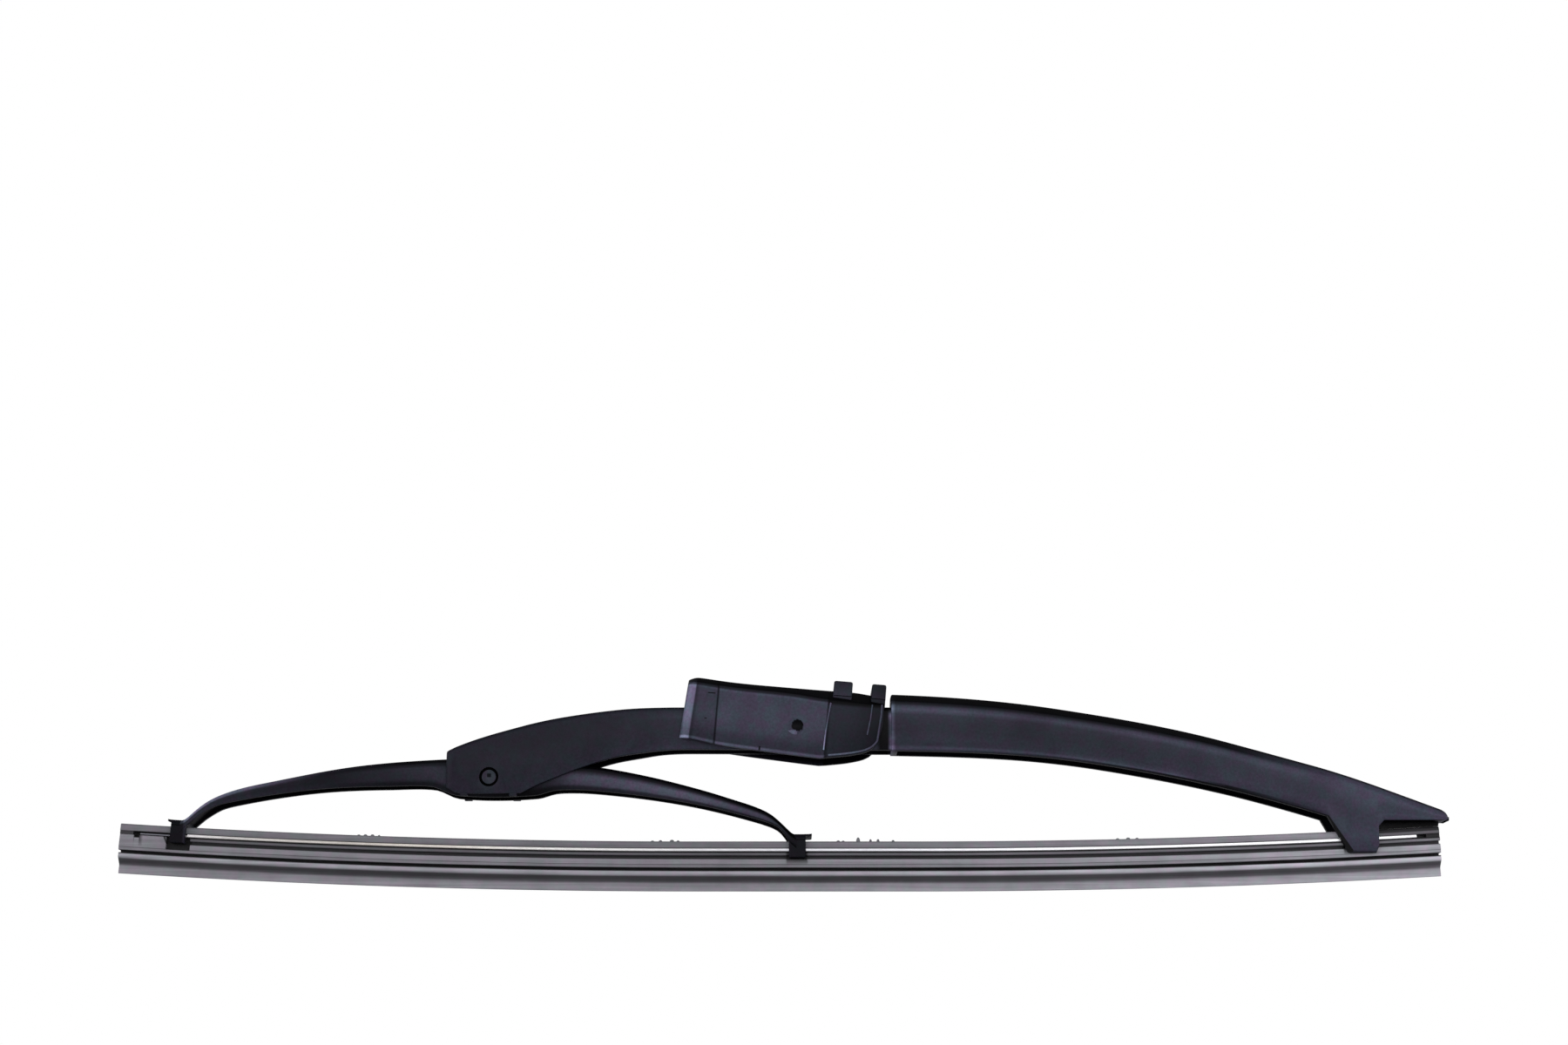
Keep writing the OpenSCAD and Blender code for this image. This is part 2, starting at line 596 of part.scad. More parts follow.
// The connector, in its own tilted frame
deck_line = [
    [-shell_left, deck_top + 0.1, 0.4], [-shell_left + 2.1, deck_top + 0.6, -0.02],
    [-15, deck_top + 0.15, -0.04], [-5, deck_top, 0], [8, deck_top + 0.15, 0.02],
    [shell_right, deck_top + 0.45, 0.02]
];
cheek_low = [
    [-shell_left, 1.9 - cheek_drop, 0], [-shell_left + 3, 1.7 - cheek_drop, -0.12],
    [-16, 0.75 - cheek_drop, -0.08], [-7, 0.2 - cheek_drop, -0.05], [6, -cheek_drop - 0.4, -0.03],
    [7.4, -cheek_drop - 0.2, 0.18], [14, 1.1 - cheek_drop, 0.28], [17.4, 2.5 - cheek_drop, 0.75],
    [19, 4.6 - cheek_drop, 2.2], [shell_right, 8 - cheek_drop, 4]
];
cheek_plan = [
    [-shell_left, shell_r - 1.9, 1.4], [-shell_left + 1.2, shell_r - 0.75, 0.55],
    [-shell_left + 3.6, shell_r, 0], [7, shell_r, 0], [shell_right, shell_r - 0.9, -0.1]
];
cheek_shoulder = [
    [-shell_left, 0.9, 0.1], [-16, 1.35, 0.01], [-2, 1.6, 0.05], [7, 2.4, 0.06],
    [shell_right, 2.9, 0.02]
];
cheek_marks = [
    -shell_left, -shell_left + 0.4, -shell_left + 1.2, -shell_left + 2.1, -shell_left + 3.6, -16,
    -7, 6, 7.4, 14, 17.4, 19, shell_right
];
hook1_x = 8;
hook1_l = 4.3;
hook2_x = hook1_x + hook1_l + window_l;
window_r = 4.1;
hook_root = 3.2;

// A hook with a rounded crest, across the deck, its sides running down into the cheeks
module hook(x, l, half) {
    crest = deck_top + hook_h;
    round_r = 0.5;
    mirrored_y()
        translate([x, spine_r + 0.5, deck_top - hook_root])
            cube([l, half - spine_r - 0.5, hook_root + hook_h - round_r - 0.1]);
    rotate([90, 0, 0])
        linear_extrude(height = 2 * half, center = true)
            union() {
                translate([x, deck_top - 1.2]) square([l, hook_h + 1.2 - round_r]);
                translate([x + round_r, crest - round_r - 0.1]) square([l - 2 * round_r, round_r + 0.1]);
                for (dx = [round_r, l - round_r])
                    translate([x + dx, crest - round_r]) circle(r = round_r, $fn = 32);
            }
}

module connector() {
    xs = stations(cheek_marks, 6);
    inner_r = spine_r + 0.3;
    color([0.24, 0.25, 0.29])
    rotate([0, tilt, 0])
    difference() {
        union() {
            channel(
                [for (x = xs)
                    arch(x, line_at(cheek_plan, x), line_at(cheek_low, x), line_at(deck_line, x),
                         line_at(cheek_shoulder, x))],
                [for (x = xs)
                    arch(x, max(line_at(cheek_plan, x) - cheek_t, inner_r), line_at(cheek_low, x),
                         line_at(deck_line, x) - deck_t, line_at(cheek_shoulder, x) * 0.55)]);
            // raised seat for the arm, between the left part of the deck and the first hook
            translate([-5, -3.4, deck_top - 1]) cube([12.6, 6.8, 1.3]);
            hook(hook1_x, hook1_l, shell_r - 0.7);
            hook(hook2_x, shell_right - hook2_x + 0.2, shell_r - 1.15);
            // bosses around the pin's ends and domes over them
            mirrored_y()
                translate([0, inner_r, 0]) rotate([-90, 0, 0])
                    cylinder(d = pin_d + 2.6, h = shell_r - inner_r - cheek_t / 2);
            mirrored_y()
                translate([0, shell_r - panel_depth - 0.3, 0]) rotate([-90, 0, 0]) dome();
            // ribs that stiffen the deck
            for (x = [-20, -12])
                translate([x, -(shell_r - 2), deck_top - deck_t - 0.5])
                    cube([1, 2 * (shell_r - 2), 0.9]);
        }
        // latch window between the hooks
        translate([hook1_x + hook1_l, -window_r, deck_top - 4]) cube([window_l, 2 * window_r, 8]);
        // the left end leans
        translate([-shell_left, 0, 1.9 - cheek_drop]) rotate([0, 4.3, 0])
            translate([-4, -shell_r - 1, -4]) cube([4, 2 * shell_r + 2, 24]);
        // sockets for the pin, open towards the rail
        rotate([90, 0, 0])
            cylinder(d = pin_d + 2 * turn_fit, h = 2 * (shell_r - 0.8), center = true);
        // recessed panels and the grooves that end them
        mirrored_y() {
            panel();
            translate([7.1, shell_r - 0.35, -cheek_drop - 1]) rotate([0, -2, 0])
                cube([0.4, 1, cheek_drop + 8]);
            translate([hook2_x, shell_r - 1.15, -cheek_drop + 4])
                cube([0.4, 1, cheek_drop + 2.4]);
        }
        // small notch in the lower edge
        mirrored_y()
            translate([-8, shell_r - 2, -cheek_drop - 1]) cube([0.45, 3, 1.9]);
    }
}

module dome() {
    rise = 0.75;
    r = dome_d / 2;
    ball = (r * r + rise * rise) / (2 * rise);
    rotate_extrude()
        intersection() {
            translate([0, rise - ball]) circle(r = ball, $fn = 180);
            square([r, rise]);
        }
}

// Shallow recess in a cheek's outer face, with the dome left standing in it
module panel() {
    difference() {
        translate([-18.3, shell_r - panel_depth, -cheek_drop - 1])
            cube([25.4, 1, cheek_drop + deck_top - 0.9]);
        rotate([-90, 0, 0]) cylinder(d = dome_d + 0.02, h = shell_r + 2);
    }
}

bridge();
yoke();
yoke_rivet();
connector();
connector_pin();
rubber();
rail_near();
rail_far();
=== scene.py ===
import math
import bpy
import bmesh
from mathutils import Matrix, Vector


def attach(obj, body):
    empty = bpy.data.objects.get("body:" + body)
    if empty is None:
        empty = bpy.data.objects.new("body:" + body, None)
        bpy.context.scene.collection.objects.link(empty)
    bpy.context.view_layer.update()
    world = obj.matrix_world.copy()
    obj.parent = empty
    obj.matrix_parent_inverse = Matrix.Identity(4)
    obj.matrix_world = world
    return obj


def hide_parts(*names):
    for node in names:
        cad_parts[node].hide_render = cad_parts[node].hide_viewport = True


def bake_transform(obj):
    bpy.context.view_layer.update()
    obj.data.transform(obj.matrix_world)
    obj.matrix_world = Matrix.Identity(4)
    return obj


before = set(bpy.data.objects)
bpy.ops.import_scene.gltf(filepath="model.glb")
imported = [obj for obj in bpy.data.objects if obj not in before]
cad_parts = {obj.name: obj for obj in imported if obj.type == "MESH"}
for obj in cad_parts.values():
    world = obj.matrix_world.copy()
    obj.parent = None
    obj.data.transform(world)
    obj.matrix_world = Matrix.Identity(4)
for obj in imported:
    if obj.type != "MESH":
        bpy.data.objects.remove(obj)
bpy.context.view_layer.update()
mm = 0.001
print("frame loaded")


# Curves shared by the pieces, in millimetres
def between(p, q, x):
    # Straight from p to q if the points have no slope of their own, smooth if they have
    length = q[0] - p[0]
    t = (x - p[0]) / length
    if len(p) == 2:
        return p[1] + (q[1] - p[1]) * t
    s = 1 - t
    return (p[1] * s * s * (1 + 2 * t) + q[1] * t * t * (3 - 2 * t)
            + length * t * s * (p[2] * s - q[2] * t))


def lineAt(points, x):
    if x <= points[0][0]:
        return points[0][1]
    for p, q in zip(points, points[1:]):
        if x <= q[0]:
            return between(p, q, x)
    return points[-1][1]


def stations(marks, step):
    out = [marks[0]]
    for a, b in zip(marks, marks[1:]):
        n = max(1, math.ceil((b - a) / step))
        out += [a + (b - a) * k / n for k in range(1, n + 1)]
    return out


# The bow that the rubber hangs in when it is off the glass
bow = {"radius": 2080, "flat": 50, "middle": 2, "drop": 36.7}


def pastFlat(x):
    a = bow["middle"] - bow["flat"] / 2
    b = bow["middle"] + bow["flat"] / 2
    return min(x - a, 0) + max(x - b, 0)


def bowZ(x):
    return bow["radius"] - bow["drop"] - math.sqrt(bow["radius"] ** 2 - pastFlat(x) ** 2)


def bowSlope(x):
    return math.asin(pastFlat(x) / bow["radius"])


def onBow(x, h):
    a = bowSlope(x)
    return x - h * math.sin(a), bowZ(x) + h * math.cos(a)


def unbent(x, z):
    # The place along the rubber and the height above the lip of a vertex on the bow
    a = bowSlope(x)
    h = (z - bowZ(x)) * math.cos(a)
    return x + h * math.sin(a), h


def seat(x):
    return bowZ(x) + rubberDims["height"]


# Mesh building
def rounded(points, radii, steps=4):
    # Corners rounded over steps, with no more than a share of each side used up
    out = []
    n = len(points)
    mostShare = 0.48
    for i, (p, r) in enumerate(zip(points, radii)):
        if r == 0:
            out += [p] * (steps + 1)
            continue
        ends = []
        for q in (points[i - 1], points[(i + 1) % n]):
            length = math.dist(p, q)
            reach = min(r, length * mostShare)
            ends.append([p[j] + (q[j] - p[j]) * reach / length for j in (0, 1)])
        for k in range(steps + 1):
            t = k / steps
            out.append(tuple((1 - t) ** 2 * ends[0][j] + 2 * t * (1 - t) * p[j]
                             + t * t * ends[1][j] for j in (0, 1)))
    return out


def sharpen(mesh, angle=32, mend=False):
    # Smooth faces, with sharp edges where they meet at more than the angle
    bm = bmesh.new()
    bm.from_mesh(mesh)
    if mend:
        bmesh.ops.remove_doubles(bm, verts=bm.verts, dist=1e-7)
        bmesh.ops.recalc_face_normals(bm, faces=bm.faces)
    for f in bm.faces:
        f.smooth = True
    for e in bm.edges:
        e.smooth = len(e.link_faces) == 2 and e.calc_face_angle(0) < math.radians(angle)
    bm.to_mesh(mesh)
    bm.free()


def linked(name, data):
    obj = bpy.data.objects.new(name, data)
    bpy.context.scene.collection.objects.link(obj)
    return obj


def makeObject(name, verts, faces, angle=32):
    mesh = bpy.data.meshes.new(name)
    mesh.from_pydata([(x * mm, y * mm, z * mm) for x, y, z in verts], [], faces)
    sharpen(mesh, angle, True)
    return linked(name, mesh)


def grid(rings, closed, base=0):
    n = len(rings[0])
    faces = []
    for s in range(len(rings) - 1):
        a, b = base + s * n, base + (s + 1) * n
        for i in range(n if closed else n - 1):
            j = (i + 1) % n
            faces.append((a + i, a + j, b + j, b + i))
    return faces


def loft(parts):
    # Several closed lofts in one mesh, each a list of rings of points
    verts, faces = [], []
    for rings in parts:
        base = len(verts)
        n = len(rings[0])
        verts += [p for ring in rings for p in ring]
        faces += grid(rings, True, base)
        faces.append(tuple(range(base + n - 1, base - 1, -1)))
        faces.append(tuple(range(len(verts) - n, len(verts))))
    return verts, faces


def shell(outer, inner, i0, i1):
    # A skin through open outer strips and open inner strips. The inner ones run from i0 to i1,
    # and the skin is solid before and after them.
    n = len(outer[0])
    verts = [p for ring in outer for p in ring]
    base = len(verts)
    verts += [p for ring in inner for p in ring]
    faces = grid(outer, False)
    faces += [tuple(reversed(f)) for f in grid(inner, False, base)]
    last = len(outer) - 1

    def o(s, i):
        return s * n + i % n

    def v(s, i):
        return base + (s - i0) * n + i % n

    for s in range(last):
        if i0 <= s < i1:
            faces.append((o(s, 0), o(s + 1, 0), v(s + 1, 0), v(s, 0)))
            faces.append((o(s, -1), v(s, -1), v(s + 1, -1), o(s + 1, -1)))
        else:
            faces.append((o(s, 0), o(s + 1, 0), o(s + 1, -1), o(s, -1)))
    for s, isOpen in ((0, i0 == 0), (last, i1 == last)):
        if isOpen:
            faces += [(o(s, i), o(s, i + 1), v(s, i + 1), v(s, i)) for i in range(n - 1)]
        else:
            faces.append(tuple(o(s, i) for i in range(n)))
    if i0 > 0:
        faces.append(tuple(v(i0, i) for i in range(n)))
    if i1 < last:
        faces.append(tuple(v(i1, i) for i in range(n)))
    return verts, faces


def strip(x, r, foot, top, bevel, soft, edge, crown):
    # Half a tube, open below: up one side, over the bevels and the top, down the other side
    pts = [(-r, foot), (-r, top - bevel), (-r + bevel, top), (0, top + crown), (r - bevel, top),
           (r, top - bevel), (r, foot)]
    body = rounded(pts, [0, soft, soft, 1.5, soft, soft, 0])
    rim = [(r - edge, foot), (r - edge * 0.3, foot + edge * 0.3), (r, foot + edge)]
    near = [(-w, z) for w, z in rim]
    return [(x, w, z) for w, z in near + body[5:-5] + rim[::-1]]


def extrude(points, y0, y1, edge=0.0):
    # A plate through a side outline of (x, z), with a small bevel along both rims
    n = len(points)
    if sum(points[i - 1][0] * points[i][1] - points[i][0] * points[i - 1][1] for i in range(n)) < 0:
        points = points[::-1]
    if edge == 0:
        return loft([[[(x, y, z) for x, z in points] for y in (y0, y1)]])
    small = []
    for i in range(n):
        a, p, b = points[i - 1], points[i], points[(i + 1) % n]
        length = math.hypot(b[1] - a[1], b[0] - a[0]) or 1
        small.append((p[0] - edge * (b[1] - a[1]) / length, p[1] + edge * (b[0] - a[0]) / length))
    rings = [(y0, small), (y0 + edge, points), (y1 - edge, points), (y1, small)]
    return loft([[[(x, y, z) for x, z in ring] for y, ring in rings]])


def merge(*parts):
    verts, faces = [], []
    for v, f in parts:
        base = len(verts)
        verts += v
        faces += [tuple(base + i for i in face) for face in f]
    return verts, faces


def placed(part, x, z, slope=0):
    c, s = math.cos(slope), math.sin(slope)
    verts, faces = part
    return [(x + px * c - pz * s, y, z + px * s + pz * c) for px, y, pz in verts], faces


def turned(part, degrees):
    # Turned about the pivot's axis, as the connector is against the blade
    return placed(part, 0, 0, -math.radians(degrees))


def lathe(x, z, profile, n=72):
    # Rings about an axis along Y, from a list of (y, radius)
    circle = [(math.cos(2 * math.pi * k / n), math.sin(2 * math.pi * k / n)) for k in range(n)]
    return loft([[[(x + r * cx, y, z + r * cz) for cx, cz in circle] for y, r in profile]])


def cylinderY(x, z, r, y0, y1, n=64, edge=0.0):
    soft = [(y0, r - edge), (y0 + edge, r), (y1 - edge, r), (y1, r - edge)]
    return lathe(x, z, soft if edge else [(y0, r), (y1, r)], n)


def boxPart(x0, x1, y0, y1, z0, z1, edge=0.15):
    pts = [(x0, z0), (x1, z0), (x1, z1), (x0, z1)]
    return extrude(rounded(pts, [edge] * 4, 2), y0, y1, edge)


def boxPair(x0, x1, y0, y1, z0, z1, edge=0.15):
    # The same box on each side of the blade
    return [boxPart(x0, x1, *sorted((s * y0, s * y1)), z0, z1, edge) for s in (-1, 1)]


def cut(obj, tool):
    cutter = makeObject("cutter", *tool)
    mod = obj.modifiers.new("cut", "BOOLEAN")
    mod.operation = "DIFFERENCE"
    mod.solver = "EXACT"
    mod.object = cutter
    bpy.context.view_layer.update()
    deps = bpy.context.evaluated_depsgraph_get()
    mesh = bpy.data.meshes.new_from_object(obj.evaluated_get(deps))
    obj.modifiers.clear()
    obj.data = mesh
    bpy.data.objects.remove(cutter)
    sharpen(mesh)


# Material nodes
def feed(tree, socket, value):
    # The output of another node, or a fixed value
    if isinstance(value, bpy.types.NodeSocket):
        tree.links.new(value, socket)
    else:
        socket.default_value = value


def feedAll(tree, node, inputs):
    for key, value in inputs.items():
        feed(tree, node.inputs[key], value)


def addNode(tree, kind, inputs, **settings):
    node = tree.nodes.new(kind)
    for key, value in settings.items():
        setattr(node, key, value)
    feedAll(tree, node, inputs)
    return node


def newMaterial(name):
    mat = bpy.data.materials.new(name)
    mat.use_nodes = True
    tree = mat.node_tree
    tree.nodes.clear()
    shader = tree.nodes.new("ShaderNodeBsdfPrincipled")
    addNode(tree, "ShaderNodeOutputMaterial", {0: shader.outputs[0]})
    coords = tree.nodes.new("ShaderNodeTexCoord").outputs["Object"]
    return mat, tree, shader, coords


def noise(tree, coords, scale, detail, rough, stretch=None):
    if stretch:
        coords = addNode(tree, "ShaderNodeMapping", {"Vector": coords, "Scale": stretch}).outputs[0]
    inputs = {"Vector": coords, "Scale": scale, "Detail": detail, "Roughness": rough}
    return addNode(tree, "ShaderNodeTexNoise", inputs).outputs[0]


def ramp(tree, source, low, high, a, b):
    inputs = {"Value": source, "From Min": low, "From Max": high, "To Min": a, "To Max": b}
    return addNode(tree, "ShaderNodeMapRange", inputs).outputs[0]


def varied(tree, source, a, b):
    # From a to b over the range that a noise mostly keeps to
    return ramp(tree, source, 0.3, 0.7, a, b)


def maths(tree, operation, a, b):
    return addNode(tree, "ShaderNodeMath", {0: a, 1: b}, operation=operation).outputs[0]


def times(tree, level, *others):
    for other in others:
        level = maths(tree, "MULTIPLY", level, other)
    return level


def attribute(tree, name):
    return addNode(tree, "ShaderNodeAttribute", {}, attribute_name=name).outputs["Fac"]


def alongX(tree, coords):
    return addNode(tree, "ShaderNodeSeparateXYZ", {0: coords}).outputs[0]


def mixColour(tree, factor, a, b, kind="MIX"):
    node = addNode(tree, "ShaderNodeMix", {0: factor}, data_type="RGBA", blend_type=kind)
    for socket, value in zip([s for s in node.inputs if s.type == "RGBA"], (a, b)):
        feed(tree, socket, (*value, 1) if isinstance(value, tuple) else value)
    return [s for s in node.outputs if s.type == "RGBA"][0]


def toned(tree, colour, level):
    inputs = {"Value": level, "Color": colour}
    return addNode(tree, "ShaderNodeHueSaturation", inputs).outputs[0]


def bumped(tree, height, strength, depth=0.00004):
    inputs = {"Strength": strength, "Distance": depth, "Height": height}
    return addNode(tree, "ShaderNodeBump", inputs).outputs[0]


def colourRamp(tree, factor, stops):
    # A colour for each place from 0 to 1
    node = addNode(tree, "ShaderNodeValToRGB", {0: factor})
    elements = node.color_ramp.elements
    while len(elements) < len(stops):
        elements.new(1.0)
    for element, (place, colour) in zip(elements, stops):
        element.position = place
        element.color = (*colour, 1)
    return node.outputs[0]


def colourAlong(tree, source, points):
    # A colour that changes along the source, from a list of (position, colour)
    first, last = points[0][0], points[-1][0]
    place = ramp(tree, source, first, last, 0, 1)
    return colourRamp(tree, place, [((x - first) / (last - first), colour) for x, colour in points])


# A ramp can't hold more than 1, so the levels in it are divided by the highest one allowed
mostLevel = 4.0


def levels(tree, source, points):
    return colourAlong(tree, source, [(x, (level / mostLevel,) * 3) for x, level in points])


def tinted(tree, coords, colour, tints):
    # Faint patches of two tints over a colour
    amount = ramp(tree, noise(tree, coords, 520, 2, 0.5), 0.38, 0.62, 0, 1)
    return mixColour(tree, 1, colour, mixColour(tree, amount, *tints), "MULTIPLY")


def plastic(name, look):
    mat, tree, shader, coords = newMaterial(name)
    broad = noise(tree, coords, look["patchScale"], 4, 0.55)
    fine = noise(tree, coords, look["grainScale"], 2, 0.6)
    specks = noise(tree, coords, look["grainScale"] * 0.35, 5, 0.7)
    colour = mixColour(tree, varied(tree, broad, 0, 1), look["dark"], look["light"])
    # painted light and shade in bands across the faces (dark top bevels, highlight lines along the
    # edges), each list from the place named first to the next one
    along, across = attribute(tree, "along"), attribute(tree, "across")
    band = levels(tree, across, look["paintedLightBands"][0][1])
    for (x0, _), (x1, points) in zip(look["paintedLightBands"], look["paintedLightBands"][1:]):
        blend = ramp(tree, along, x0, x1, 0, 1)
        band = times(tree, band, maths(tree, "SUBTRACT", 1.0, blend))
        band = maths(tree, "ADD", band, times(tree, levels(tree, across, points), blend))
    # the two levels were each divided, so the mottle brings them back
    low, high = (mostLevel ** 2 * (1 + v) for v in (-look["mottle"], look["mottle"]))
    # the level multiplies the painted light and shade of the bands, the gain's painted light along
    # the part, random specks, and the painted light or shade stored at the vertices
    level = times(tree, band, levels(tree, along, look["paintedLightAlong"]),
                  ramp(tree, specks, 0.25, 0.75, low, high), attribute(tree, "level"))
    feedAll(tree, shader, {
        "Base Color": toned(tree, tinted(tree, coords, colour, look["tints"]), level),
        "Roughness": varied(tree, specks, look["rough"] - 0.06, look["rough"] + 0.06),
        "Normal": bumped(tree, fine, look["bump"]),
        "IOR": 1.48, "Specular IOR Level": look["specular"]})
    return mat


def rubberMaterial(look, height):
    mat, tree, shader, coords = newMaterial("rubber")
    # bands of painted light and shade by height, dark in the grooves and on the slopes that face
    # down, wandering a little along the blade
    wander = noise(tree, coords, 1.0, 2, 0.5, (60, 200, 200))
    where = maths(tree, "ADD", attribute(tree, "height"), ramp(tree, wander, 0, 1, -0.006, 0.006))
    paintedLightBands = colourRamp(tree, where, [(h / height, tuple(shade * v for v in look["hue"]))
                                     for h, shade in look["paintedLightBands"]])
    streaks = noise(tree, coords, 1.0, 4, 0.6, (30, 900, 2200))
    patches = noise(tree, coords, look["patchScale"], 5, 0.6)
    fine = noise(tree, coords, 5200, 2, 0.6)
    # random streaks and patches, with the gain's painted light growing towards the right and the
    # painted shade of the shade attribute
    level = times(tree, varied(tree, streaks, 1 - look["streak"], 1 + look["streak"]),
                  varied(tree, patches, 1 - look["patch"], 1 + look["patch"]),
                  ramp(tree, alongX(tree, coords), *look["paintedLightAlong"]), attribute(tree, "shade"))
    feedAll(tree, shader, {
        "Base Color": toned(tree, tinted(tree, coords, paintedLightBands, look["tints"]), level),
        "Roughness": varied(tree, patches, look["rough"] - 0.05, look["rough"] + 0.08),
        "Normal": bumped(tree, maths(tree, "ADD", streaks, fine), look["bump"]),
        "Specular IOR Level": 0.25})
    return mat


def steel(name, look):
    mat, tree, shader, coords = newMaterial(name)
    lines = noise(tree, coords, 1.0, 3, 0.6, look["stretch"])
    spots = noise(tree, coords, 900, 4, 0.6)
    base = mixColour(tree, varied(tree, lines, 0, 1), look["dark"], look["light"])
    # painted light along the part, where the look gives it
    if "paintedLightTint" in look:
        paintedLightTint = colourAlong(tree, alongX(tree, coords), look["paintedLightTint"])
        base = mixColour(tree, 1, base, paintedLightTint, "MULTIPLY")
    feedAll(tree, shader, {
        "Base Color": base, "Metallic": look["metal"], "Specular IOR Level": 0.5,
        "Roughness": varied(tree, spots, look["rough"] - 0.06, look["rough"] + 0.08),
        "Normal": bumped(tree, lines, 0.25, 0.00003)})
    return mat


# Numbers at the vertices, which the materials read
def store(obj, name, rule):
    # Worked out from each vertex's place in millimetres
    values = [rule(v.co.x / mm, v.co.y / mm, v.co.z / mm) for v in obj.data.vertices]
    layer = obj.data.attributes.new(name, "FLOAT", "POINT")
    layer.data.foreach_set("value", values)


def tell(obj, low=None, top=None, bevel=None, level=1.0, tilt=0, along=lambda x, y, z: x):
    # Where each vertex is along the part and across its face (0 at the foot, 1 at the bevel, 2 on
    # the top), and the level of painted light or shade at its place
    c, s = math.cos(math.radians(tilt)), math.sin(math.radians(tilt))

    def across(x, y, z):
        if low is None:
            return 0.5
        foot, size = low(x), bevel(x) if callable(bevel) else bevel
        edge = top(x) - size
        return max(0, (z - foot) / (edge - foot)) if z <= edge else min(2, 1 + (z - edge) / size)

    levelAt = level if callable(level) else lambda x, y, z: level
    for name, rule in (("across", across), ("along", along), ("level", levelAt)):
        store(obj, name, lambda x, y, z: rule(x * c - z * s, y, x * s + z * c))


def hollow(half, top, deck, shade):
    # Painted shade in a channel: darker inside, between its half width and under its deck
    return lambda x, y, z: shade if abs(y) < half(x) and z < top(x) - deck else 1.0


def follow(points):
    return lambda x: lineAt(points, x)


def done(obj, mat, body, slot, *nodes):
    obj.data.materials.clear()
    obj.data.materials.append(mat)
    if body:
        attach(obj, body)
    if nodes:
        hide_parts(*nodes)


def addPiece(name, parts, mat, body, slot, level=1.0, tilt=0, angle=32):
    # A piece without bands across its faces
    obj = makeObject(name, *turned(merge(*parts), tilt), angle)
    tell(obj, level=level, tilt=tilt)
    done(obj, mat, body, slot)


print("helpers ready")

# Rubber element: back with rail slots, flange, claw groove, body, thin hinge, lip.
# In the look, the bands, painted light and shade by height, are (height above the lip, shade), and
# the gain, painted light that grows towards the right, is (left place in metres, right place, level
# on the left, level on the right).
rubberDims = {
    "left": -153.6, "right": 146.4, "height": 11.0, "head": 3.25, "slot0": -150.6, "slot1": 143.4,
    "mouth": (-150.3, -149.2), "pocket": 2.75, "clawX": -140.2, "fingerLow": 7.25,
    "fingerThick": 0.4}
rubberLook = {
    "paintedLightBands": [
        (0, 0.30), (0.25, 0.34), (1.6, 0.28), (2.1, 0.10), (2.6, 0.055), (3.15, 0.06), (3.45, 0.38),
        (4.16, 0.47), (4.42, 0.008), (5.06, 0.008), (5.2, 0.27), (5.68, 0.25), (5.78, 0.11),
        (5.9, 0.28), (6.86, 0.31), (7.12, 0.03), (7.72, 0.03), (7.86, 0.14), (8.26, 0.14),
        (8.42, 0.02), (9.4, 0.015), (9.55, 0.19), (10.6, 0.23), (10.95, 0.20)],
    "hue": (0.985, 0.955, 1.04), "tints": ((1.05, 0.97, 1.03), (0.96, 1.03, 1.0)), "streak": 0.16,
    "patch": 0.12, "paintedLightAlong": (-0.01, 0.15, 0.82, 1.42), "rough": 0.58, "bump": 0.5, "patchScale": 160}
rubberMat = rubberMaterial(rubberLook, rubberDims["height"])


def rubberSection(kind):
    # kind is "open" along most of the blade, "tail" and "end" without rail slots, "plug" and
    # "mouth" without a claw groove, and "pocket" where the left claw snaps in
    head = rubberDims["head"]
    top = rubberDims["height"]
    # each corner is (half width, height above the lip, radius)
    half = [(0.43, 0, 0.12), (0.47, 1.75, 0.2), (0.62, 2.05, 0.3), (2.15, 3.3, 0.3),
            (2.5, 3.55, 0.2), (2.5, 4.38, 0.15), (2.3, 4.55, 0.1), (0.55, 4.55, 0.12),
            (0.55, 5.1, 0.12), (2.78, 5.1, 0.15), (2.88, 5.69, 0.08)]
    floor = 8.25 if kind == "mouth" else 8.65
    if kind in ("plug", "end", "mouth"):
        half += [(3.0, 5.85, 0.08), (3.0, floor - 0.19, 0.1), (2.9, floor, 0.08)]
    elif kind == "pocket":
        half += [(2.86, 5.76, 0.05), (1.75, 5.8, 0.08), (1.75, floor, 0.02)]
    else:
        half += [(3.0, 5.85, 0.08), (3.0, 6.92, 0.12), (2.8, 7.1, 0.12), (1.75, 7.1, 0.1),
                 (1.75, 7.8, 0.1), (3.1, 7.8, 0.1), (3.2, 7.95, 0.1), (3.2, 8.45, 0.12),
                 (2.98, floor, 0.12)]
    if kind in ("end", "tail"):
        half += [(head - 0.2, 8.71, 0.03), (head - 0.2, 9.39, 0.03)]
    else:
        half += [(1.1, floor, 0.06), (1.1, 9.45, 0.06)]
    half += [(head, 9.45, 0.12), (head, 9.95, 0.02), (head, 10.2, 0.02), (head, top - 0.3, 0.2),
             (head - 0.3, top, 0.2)]
    whole = half + [(-w, h, r) for w, h, r in half[::-1]]
    return rounded([p[:2] for p in whole], [p[2] for p in whole], 2)


def sweep(section, marks, step):
    # Rings of the section standing square to the bow
    rings = []
    for x in stations(marks, step):
        places = [(onBow(x, h), w) for w, h in section]
        rings.append([(px, w, pz) for (px, pz), w in places])
    return rings


